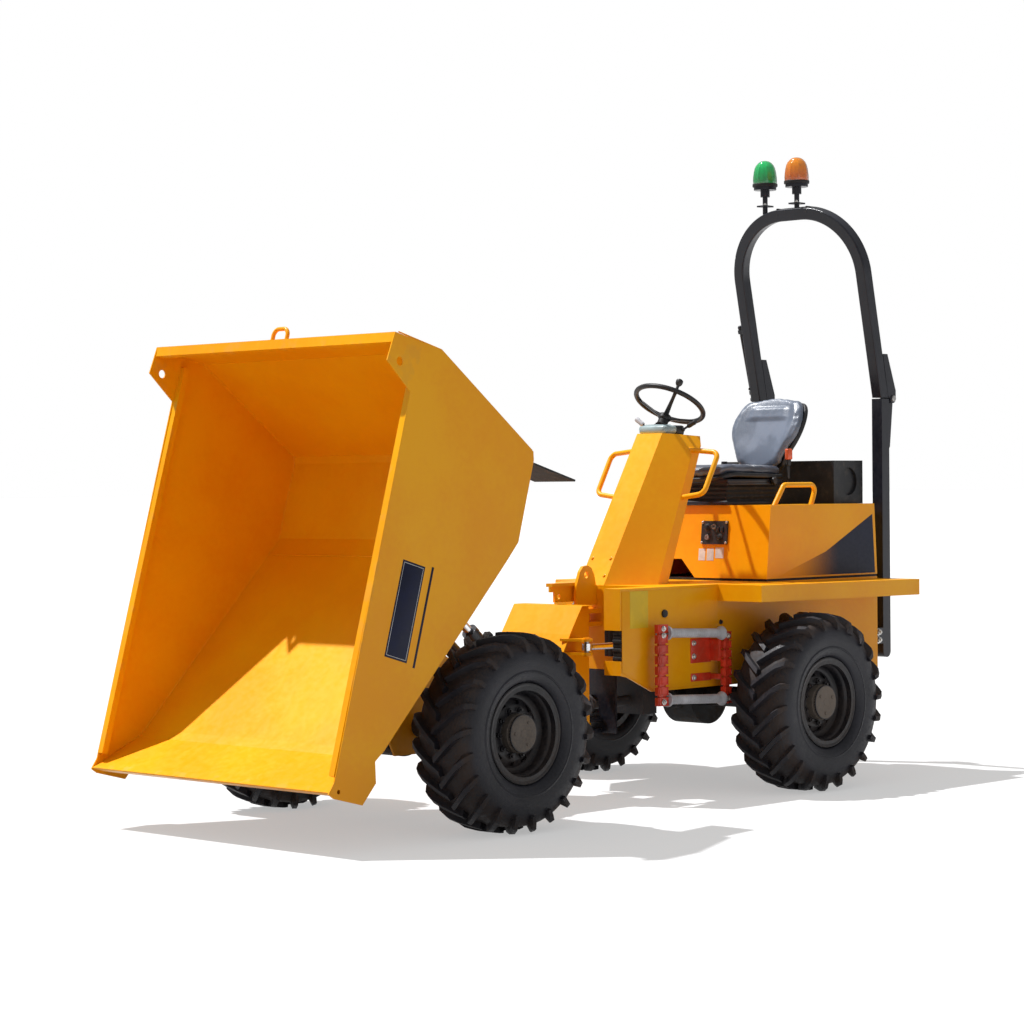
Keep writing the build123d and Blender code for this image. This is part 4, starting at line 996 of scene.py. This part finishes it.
for i in range(suspension["folds"] * 2):
    extrude((0, 0, tall))
    resize(inward if i % 2 == 0 else [1 / v for v in inward], (middleX, 0, low.z + tall * (i + 1)))
leave()
roundEdges(folds, 0.002, 1, 30)
settle("seatBellows", [shade(folds, 60)], "black_rubber", "seat_suspension")
frames = [box(*corners, satinBlack, 0.004) for corners in suspension["plates"]]
frames += [box((-1300, y, 1452), (-890, y + 12, 1464), satinBlack, 0.002) for y in suspension["railY"]]
settle("seatFrame", frames, "black_paint")
dial = latheAt(suspension["dial"], blackPlastic, 18, at(*suspension["dialPlace"]), (0, 1, 0))
settle("seatDials", [dial], "black_plastic")


# belt buckle on its stalk, and the belt reel on the other side: corners, finish, edge
belt = {
    "stalk": [((-1330, 222, 1482), (-1312, 230, 1560), blackPlastic, 0.003),
              ((-1336, 219, 1545), (-1308, 235, 1582), blackPlastic, 0.006)],
    "buckle": ((-1342, 216, 1576), (-1303, 238, 1630), buckleRed, 0.006, 3), "slotDepth": 0.006,
    "reel": [((-1400, -238, 1486), (-1340, -212, 1560), blackPlastic, 0.01, 3),
             ((-1384, -236, 1556), (-1352, -216, 1572), satinBlack, 0.004)]}
settle("buckleStalk", [box(*sizes) for sizes in belt["stalk"]], "black_plastic")
buckle = box(*belt["buckle"])
edit(buckle)
pickFaces(buckle, lambda c, n: n.z > 0.9)
bpy.ops.mesh.inset(thickness=0.004)
extrude((0, 0, -belt["slotDepth"]))
leave()
settle("beltBuckle", [buckle], "red_strap", "belt_buckle")
settle("beltReel", [box(*sizes) for sizes in belt["reel"]], "black_plastic")
print("seat fittings made")


# steering wheel: thin rim, three bent spokes down to a hub, and a knob
wheel = {
    "place": (-680, 0, 1850), "tilt": 30, "radius": 0.1715, "rim": 0.0125, "dish": 0.075,
    "spokes": (48, 168, 288), "spokeSize": (0.026, 0.011), "knob": 48,
    "spokeSteps": ((0.25, 0.86), (0.5, 0.82), (0.75, 0.9), (1.0, 1.12)),  # share of the length, change of width
    "hubRows": [(0, -57.5), (17, -57.5), (19.5, -59.5), (20, -61), (26, -62),
                (31, -66), (32, -84), (26, -92), (0, -92)],
    "knobRows": [(0, 64), (10, 63.5), (16.5, 59), (18, 52), (16.5, 40), (12, 32),
                 (7.5, 27), (7.5, 6), (12, 2), (12.5, -6), (0, -6)]}
tilt = math.radians(wheel["tilt"])
acrossX, upZ = Vector((math.cos(tilt), 0, math.sin(tilt))), Vector((-math.sin(tilt), 0, math.cos(tilt)))
wheelCentre = Matrix.Translation(at(*wheel["place"]))


def frameOf(x, y, z):
    return Matrix((x, y, z)).transposed().to_4x4()


def makeSpoke(angle):
    out = Vector((math.cos(angle), math.sin(angle), 0))
    start, end = out * 0.02 + Vector((0, 0, -wheel["dish"])), out * (wheel["radius"] - 0.004)
    length, line = (end - start).length, (end - start).normalized()
    bpy.ops.mesh.primitive_plane_add(size=1, location=(0, 0, 0))
    spoke = fresh("spoke", blackPlastic)
    edit(spoke)
    selectAll()
    bpy.ops.transform.resize(value=(*wheel["spokeSize"], 1))
    for share, wide in wheel["spokeSteps"]:
        extrude((0, 0, length / len(wheel["spokeSteps"])))
        resize((wide, 1, 1), (0, 0, length * share))
    leave()
    roundEdges(flip(spoke), 0.0035, 2, 60)
    side = Vector((-out.y, out.x, 0))
    return move(spoke, Matrix.Translation(start) @ frameOf(side, line.cross(side), line))


bpy.ops.mesh.primitive_torus_add(
    major_radius=wheel["radius"], minor_radius=wheel["rim"], major_segments=72, minor_segments=14)
parts = [shade(fresh("wheelRim", blackPlastic), 50)]
parts += [makeSpoke(math.radians(angle)) for angle in wheel["spokes"]]
parts.append(lathe(wheel["hubRows"], blackPlastic, 28))
a = math.radians(wheel["knob"])
knobPlace = (wheel["radius"] * math.cos(a), wheel["radius"] * math.sin(a), 0)
parts.append(move(lathe(wheel["knobRows"], blackPlastic, 20), Matrix.Translation(knobPlace)))
steering = move(shade(join("steeringWheel", parts), 45), wheelCentre @ frameOf(acrossX, Vector((0, 1, 0)), upZ))
settle("steeringWheel", [steering], "black_plastic", "steering_wheel", body="steering_wheel")
print("steering wheel made")


# dash: silver hood in front, dark column base behind, gauges, lamps and levers
dash = {
    "hood": ((-640, -88, 1700), (-540, 88, 1747), dashSilver, 0.02, 4),
    "base": ((-702, -78, 1696), (-634, 78, 1744), blackPlastic, 0.012, 3), "sleeveDrop": 0.16,
    "sleeve": [(0, 0), (44, 0), (46, 6), (40, 10), (42, 16), (36, 21),
               (37, 27), (31, 32), (32, 38), (26.2, 44), (25.5, 66), (0, 66)],
    "gauge": [(0, 3.5), (17.5, 3.5), (18, 6), (20.5, 6.2), (21.5, 4.5), (21.5, 0),
              (0, 0)],
    "gaugeY": (-44, 0), "gaugeZ": 1719, "faceX": -702, "faceNormal": (-1, 0, 0.15),
    "lamp": [(0, 4), (4.5, 3.5), (6, 1), (6, 0), (0, 0)],
    "lamps": ((32, 1730, redPlastic), (48, 1730, amberLens), (32, 1712, greenLens), (48, 1712, paleLabel))}
lever = {
    "rod": 5.5, "leftGripScale": 0.92,
    "grip": [(0, 0), (8, 0), (11.5, 4), (12.5, 14), (11.8, 30), (12.8, 44),
             (11, 52), (5, 57), (0, 58)],
    "right": ((-622, -80, 1722), (-618, -122, 1752)), "left": ((-688, 74, 1722), (-690, 112, 1740))}
hood = box(*dash["hood"])
edit(hood)
pickFaces(hood, lambda c, n: n.z > 0.95)
bpy.ops.transform.resize(value=(0.78, 0.82, 1))
bpy.ops.mesh.inset(thickness=0.007)
bpy.ops.transform.translate(value=(-0.004, 0, 0.0018))
bpy.ops.mesh.inset(thickness=0.002)
extrude((0, 0, -0.002))
leave()
settle("dashHood", [shade(hood, 50)], "dash_silver", "dash_panel")
sleeveFoot = at(*wheel["place"]) - upZ * dash["sleeveDrop"]
sleeve = latheAt(dash["sleeve"], blackRubber, 28, sleeveFoot, upZ)
settle("steeringColumn", [box(*dash["base"]), sleeve], "black_plastic")


def onDash(rows, finish, steps, y, z):
    return latheAt(rows, finish, steps, at(dash["faceX"], y, z), dash["faceNormal"])


gauges = [onDash(dash["gauge"], gaugeFace, 28, y, dash["gaugeZ"]) for y in dash["gaugeY"]]
gauges += [onDash(dash["lamp"], finish, 14, y, z) for y, z, finish in dash["lamps"]]
settle("dashGauges", gauges, "black_plastic")


def makeLever(foot, tip, finish, scale=1.0):
    # thin rod with a collar at its foot and a grip at its end
    foot, tip, thin = at(*foot), at(*tip), lever["rod"]
    line = tip - foot
    rows = [(0, 0), (thin * 1.9, 0), (thin * 2.1, 3), (thin * 1.8, 8), (thin, 12)]
    rows += [(thin, line.length * 1000), (0, line.length * 1000)]
    grip = [(r * scale, z) for r, z in lever["grip"]]
    return [latheAt(rows, satinBlack, 16, foot, line),
            latheAt(grip, finish, 20, tip - line.normalized() * 0.006, line)]


settle("directionLever", makeLever(*lever["right"], paleGrip), "black_plastic", "control_levers")
settle("throttleLever", makeLever(*lever["left"], blackPlastic, lever["leftGripScale"]), "black_plastic")
print("dash made")


# switch panel on the front of the seat box, which leans back a little
panel = {
    "foot": (-863, 997), "lean": 34 / 356, "out": 8.0,
    "knob": [(0, 20), (9, 20), (11.5, 17), (12.5, 6), (18, 4), (19, 0), (0, 0)],
    "ring": [(0, 3), (6, 3), (6.5, 6), (12.5, 6), (14, 3), (14, 0), (0, 0)],
    "knobs": ((70, 1245), (150, 1196)), "rings": ((112, 1248), (70, 1196)), "rockers": ((138, 1234), (162, 1234)),
    "key": ((110.5, 1242, 0.01), (113.5, 1256, 0.034)), "screwY": (37, 187), "screwZ": (1169, 1269),
    "plates": ((14, 56, 1082, 1140), (66, 110, 1082, 1140), (120, 172, 1094, 1146)), "plateThick": 0.0008}
panelNormal = Vector((1, 0, panel["lean"])).normalized()


def onPanel(y, z, out=panel["out"]):
    x, foot = panel["foot"]
    return at(x - panel["lean"] * (z - foot) + out, y, z)


controls = [latheAt(panel["knob"], blackPlastic, 18, onPanel(y, z), panelNormal) for y, z in panel["knobs"]]
controls += [latheAt(panel["ring"], pinSteel, 22, onPanel(y, z), panelNormal) for y, z in panel["rings"]]
for y, z in panel["rockers"]:
    face = onPanel(y, z, 0)
    low, high = face - Vector((0.001, 0.009, 0.013)), face + Vector((0.015, 0.009, 0.013))
    controls.append(roundedCube(low, high, blackPlastic))
low, high = [onPanel(y, z, 0) + Vector((out, 0, 0)) for y, z, out in panel["key"]]
controls.append(roundedCube(low, high, pinSteel, 0.001))
settle("panelControls", controls, "black_plastic")
plates = []
for sizes in panel["plates"]:
    corners = [onPanel(y, z, 0) for y, z in rectangle(*sizes)]
    plates.append(plateOf(corners, panel["plateThick"], paleLabel, panelNormal, 0.0))
settle("seatBoxPlates", plates, "rung_grey")
spots = [(onPanel(y, z), panelNormal, y * 0.01) for y in panel["screwY"] for z in panel["screwZ"]]
bolts("panelScrews", (10, 4, 0), zinc, spots)


# navy triangle that fades into the yellow towards the front, on both sides of the seat box
triangle = {
    "corners": [(-1712, 1300), (-1732, 1004), (-950, 1006), (-1330, 1120)], "thick": 0.0008,
    "fadeFrom": 1.16, "fadeTo": 1.62, "navy": (0.004, 0.006, 0.022), "lighter": (0.008, 0.012, 0.036)}
navyFade = startMaterial("navyFade")
backwards = axisOf("X") * -1.0 + noise(90, 3) * 0.04
navy = mixColour(noise(14, 3), triangle["navy"], triangle["lighter"])
base = mixColour(band(backwards, triangle["fadeFrom"], triangle["fadeTo"]), yellow["deep"], navy)
rough = band(noise(60, 3), 0.3, 0.7, 0.38, 0.5)
shader(base, rough, (noise(400, 2), 0.05, 0.001), Specular_IOR_Level=0.22)
stickers = []
for side in (1, -1):
    corners = sideCorners(triangle["corners"], machine["plateY"] * side)
    stickers.append(plateOf(corners, triangle["thick"], navyFade, (0, side, 0), 0.0))
settle("seatBoxStickers", stickers, "black_plastic")
print("panel and labels made")


# left tank panel, filler plug, bolts and blank label on the rear chassis
chassis = {
    "tank": [(188, 972), (190, 604), (150, 590), (-14, 516), (-488, 516), (-488, 972)], "tankThick": 0.003,
    "plug": [(0, 12), (10, 12), (11.5, 10), (17, 10), (18.5, 7), (18.5, 0), (0, 0)],
    "plugPlace": (-102, 452.5, 862), "label": rectangle(10, 135, 802, 972), "labelY": 453, "labelThick": 0.0008,
    "boltsLeft": [(-512, 806, 0.2), (-560, 640, 0.5), (-1080, 948, 0.3), (-1500, 948, 0.1)],
    "boltsRight": [(-560, 640, 0.3), (-1080, 948, 0.3), (-1500, 948, 0.3)]}
corners = sideCorners(chassis["tank"], machine["plateY"])
settle("tankSkin", [plateOf(corners, chassis["tankThick"], rearYellow, (0, 1, 0), 0.0012)], "body_paint")
tankPlug = latheAt(chassis["plug"], blackPlastic, 24, at(*chassis["plugPlace"]), (0, 1, 0))
settle("tankPlug", [tankPlug], "black_plastic")
spots = []
for side, places in ((1, chassis["boltsLeft"]), (-1, chassis["boltsRight"])):
    spots += [(at(x, machine["plateY"] * side, z), (0, side, 0), twist) for x, z, twist in places]
bolts("chassisBolts", (16, 8, 3), satinBlack, spots, "black_paint")
corners = sideCorners(chassis["label"], chassis["labelY"])
settle("labelPlateLeft", [plateOf(corners, chassis["labelThick"], labelYellow, (0, 1, 0), 0.0)], "amber_lens")
print("chassis details made")


# rubber boots where the steering ram passes the cheek and the bulkhead; the black folds and the back plate stand
# partly for these boots and partly for the shade inside the openings, as a dark fill
bootAndShadeFill = {
    "sideFolds": 7, "sideFrom": 657, "sidePitch": 19.5, "frontFolds": 6, "frontFrom": 86, "frontPitch": 25.5,
    "foldStep": 3, "back": ((180, 396, 655), (187, 449, 795))}
ribs = []
for i in range(bootAndShadeFill["sideFolds"]):
    z, proud = bootAndShadeFill["sideFrom"] + i * bootAndShadeFill["sidePitch"], (i % 2) * bootAndShadeFill["foldStep"]
    ribs.append(box((184, 396, z), (195 - proud, 449, z + 19), blackRubber, 0.004))
# the back plate is a dark sheet, a painted shade inside the opening behind the folds
ribs.append(box(*bootAndShadeFill["back"], blackRubber, 0.002))
for i in range(bootAndShadeFill["frontFolds"]):
    y, proud = bootAndShadeFill["frontFrom"] + i * bootAndShadeFill["frontPitch"], (i % 2) * bootAndShadeFill["foldStep"]
    ribs.append(box((-102, y, 652), (-96 + proud, y + 25, 788), blackRubber))
settle("ramBootAndShadeFill", ribs, "black_rubber")


# roll-over frame: post bolts, hinge pins, cable clips, and the stowed rod's pads and knobs
rollFrame = {
    "postX": -1792, "postY": 424, "boltZ": (660, 700, 900, 940), "pinX": -1932, "hingeX": -1866, "hingeZ": 1886,
    "lean": 12, "topX": -1663, "clipY": (-80, 108), "clipZ": (2836, 2872), "padY": -424, "padRise": (60, 350),
    "pin": [(0, 10), (13, 10), (16, 7), (16, 0), (0, 0)],
    "knob": [(0, 22), (6, 22), (12.5, 18), (14, 10), (12.5, 1), (10, 0), (0, 0)],
    "knobs": ((-452, 393, 1), (-436, 27, -1))}  # side, rise, and which way along the leg
lean = math.radians(rollFrame["lean"])
hoopUp, hoopOut = Vector((math.sin(lean), 0, math.cos(lean))), Vector((math.cos(lean), 0, -math.sin(lean)))


def onHoop(y, rise, out=0.0):
    # rise in millimetres along the hoop's leg from its hinge
    return at(rollFrame["hingeX"], y, rollFrame["hingeZ"]) + hoopUp * (rise / 1000) + hoopOut * (out / 1000)


postY, hingeZ = rollFrame["postY"], rollFrame["hingeZ"]
spots = [(at(rollFrame["postX"], postY * side, z), (0, side, 0), 0.4)
         for side in (1, -1) for z in rollFrame["boltZ"]]
bolts("postBolts", (26, 12, 6), zinc, spots)
settle("foldPins", bothSides(rollFrame["pin"], 20, rollFrame["pinX"], postY, hingeZ), "pin_steel")
x, (low, high) = rollFrame["topX"], rollFrame["clipZ"]
clips = [box((x - 33, y - 6, low), (x + 33, y + 6, high), blackPlastic, 0.004) for y in rollFrame["clipY"]]
settle("cableClips", clips, "black_plastic", body="rops_hoop")
y = rollFrame["padY"]
pads = [roundedCube(onHoop(y, rise, -30), onHoop(y - 8, rise + 26, 30), blackRubber) for rise in rollFrame["padRise"]]
settle("rodPads", pads, "black_rubber", body="rops_hoop")
knobs = [latheAt(rollFrame["knob"], satinBlack, 16, onHoop(y, rise), hoopUp * way)
         for y, rise, way in rollFrame["knobs"]]
settle("rodKnobs", knobs, "black_paint", body="rops_hoop")
print("roll-over frame details made")


# beacons: ribbed domes in rubber collars
beacon = {
    "dome": [(0, 0), (60, 0), (62, 3), (62, 20), (60.5, 40), (57, 66), (52, 86),
             (44.5, 102), (34, 114), (22, 121.5), (10, 124.5), (0, 125)],
    "collar": [(58.5, -10), (64, -10), (65, -6), (65, 4), (62.5, 6), (58.5, 0),
               (58.5, -10)],
    "x": -1663.3, "z": 3003, "steps": 40, "ribEvery": 5, "ribHeight": 0.0012,
    "lenses": {"green": (-183, greenLens), "amber": (24, amberLens)}, "boltZ": 2896, "bolts": ((24, 18), (-24, -18))}


def onRib(c, n):
    step = int(math.degrees(math.atan2(c.y, c.x)) % 360 / (360 / beacon["steps"]))
    return n.z < 0.8 and 0.02 < c.z < 0.1 and step % beacon["ribEvery"] == 0


spots = []
for colour, (y, finish) in beacon["lenses"].items():
    place = Matrix.Translation(at(beacon["x"], y, beacon["z"]))
    dome = lathe(beacon["dome"], finish, beacon["steps"], (0, 0, 1), 50)
    edit(dome)
    pickFaces(dome, onRib)
    bpy.ops.mesh.inset(thickness=0.0015)
    bpy.ops.transform.shrink_fatten(value=beacon["ribHeight"])
    leave()
    dome = move(shade(dome, 50), place)
    settle("lens_" + colour, [dome], colour + "_lens", "beacon_" + colour, body="rops_hoop")
    collar = move(lathe(beacon["collar"], blackRubber, beacon["steps"]), place)
    settle("collar_" + colour, [collar], "black_rubber", body="rops_hoop")
    spots += [(at(beacon["x"] + dx, y + dy, beacon["boltZ"]), (0, 0, 1), dx) for dx, dy in beacon["bolts"]]
bolts("beaconBolts", (14, 7, 3), zinc, spots, body="rops_hoop")
print("beacons made")


# cowl screws, the heads of the hinge pin and tip pin, and the pins in the rams' eyes
fixings = {
    "cowlFoot": (-102, 985), "cowlTop": (-530, 1705), "screwY": (-58, 58), "screwZ": (1030, 1110),
    "head": [(0, 16), (24, 16), (31, 12), (34, 6), (34, 0), (0, 0)],
    "headZ": 883, "headNut": (30, 12), "tipCap": [(0, 6), (20, 6), (25, 3), (25, 0), (0, 0)],
    "tipCapY": 217, "eyePin": [(0, 0), (11, 0), (11.8, 1), (11.8, 70), (11, 71), (0, 71)],
    "tipEye": (1147.1, 1071.5), "tipEyeY": (115, -115), "steerEye": (260, 300, 690), "steerPinScale": 0.85}
(x0, z0), (x1, z1) = fixings["cowlFoot"], fixings["cowlTop"]
cowlNormal = Vector((z1 - z0, 0, x0 - x1)).normalized()
spots = [(at(x0 + (x1 - x0) / (z1 - z0) * (z - z0), y, z), cowlNormal, 0.3)
         for z in fixings["screwZ"] for y in fixings["screwY"]]
bolts("cowlScrews", (13, 5, 0), rearYellow, spots, "body_paint")
head = latheAt(fixings["head"], satinBlack, 24, at(0, 0, fixings["headZ"]), (0, 0, 1))
nutPlace = Matrix.Translation(at(0, 0, fixings["headZ"] + fixings["head"][0][1]))
headNut = move(hexBolt(*fixings["headNut"], zinc, 4), nutPlace)
settle("hingePinHead", [head, headNut], "black_paint")
tipX, _, tipZ = machine["tipPin"]
caps = bothSides(fixings["tipCap"], 24, tipX, fixings["tipCapY"], tipZ)
settle("tipPinCaps", caps, "pin_steel", body="front_chassis")
x, z = fixings["tipEye"]
eyePins = [latheAt(fixings["eyePin"], pinSteel, 20, at(x, y - 35.5, z), (0, 1, 0)) for y in fixings["tipEyeY"]]
settle("tipEyePins", eyePins, "pin_steel", body="tip_ram_rods")
shortPin = [(r, z * fixings["steerPinScale"]) for r, z in fixings["eyePin"]]
steerPin = latheAt(shortPin, pinSteel, 20, at(*fixings["steerEye"]), (0, 0, 1))
settle("steerEyePin", [steerPin], "pin_steel", body="steer_ram_rod")
print("fixings made")


# floor, studio light and background
studio = {
    "sunStrength": 5.0, "sunTurn": (27.9, 0, 25.3), "sunSize": 1.0, "sky": 0.4, "floorSize": 600,
    "floorGlow": 0.42, "floorPale": 0.86, "floorBounce": 0.4}


def anyRay(first, *kinds):
    # 1 where the ray is one of these kinds
    path = bench["tree"].nodes.new("ShaderNodeLightPath")
    result = Value(path.outputs[first])
    for kind in kinds:
        result = maths("MAXIMUM", result, Value(path.outputs[kind]))
    return result


bpy.ops.mesh.primitive_plane_add(size=studio["floorSize"], location=(0, 0, 0))
floor = bpy.context.object
floor.name = "floor"
paper = startMaterial("floorPaper")
direct = anyRay("Is Camera Ray", "Is Glossy Ray", "Is Transmission Ray")
pale, bounce = [(studio[name],) * 3 for name in ("floorPale", "floorBounce")]
matt = add("ShaderNodeBsdfDiffuse", None, {"Color": mixColour(direct, bounce, pale), "Roughness": 0.5})
glow = add("ShaderNodeEmission", None, {"Color": (1.0, 1.0, 1.0), "Strength": 1.0})
finishTree(add("ShaderNodeMixShader", None, {0: direct * studio["floorGlow"], 1: matt, 2: glow}))
floor.data.materials.append(paper)

bpy.context.scene.world = startTree(bpy.data.worlds.new("studio"))
strength = band(anyRay("Is Camera Ray", "Is Transmission Ray"), 0.0, 1.0, studio["sky"], 1.0)
sky = add("ShaderNodeBackground", None, {"Color": (1.0, 1.0, 1.0), "Strength": strength})
finishTree(sky, "ShaderNodeOutputWorld")

sunTurn = [math.radians(a) for a in studio["sunTurn"]]
bpy.ops.object.light_add(type="SUN", location=(4, -4, 6), rotation=sunTurn)
sun = bpy.context.object
sun.name = "keyLight"
sun.data.energy = studio["sunStrength"]
sun.data.angle = math.radians(studio["sunSize"])
bpy.context.scene.view_settings.view_transform = "Standard"
print("light and floor made")
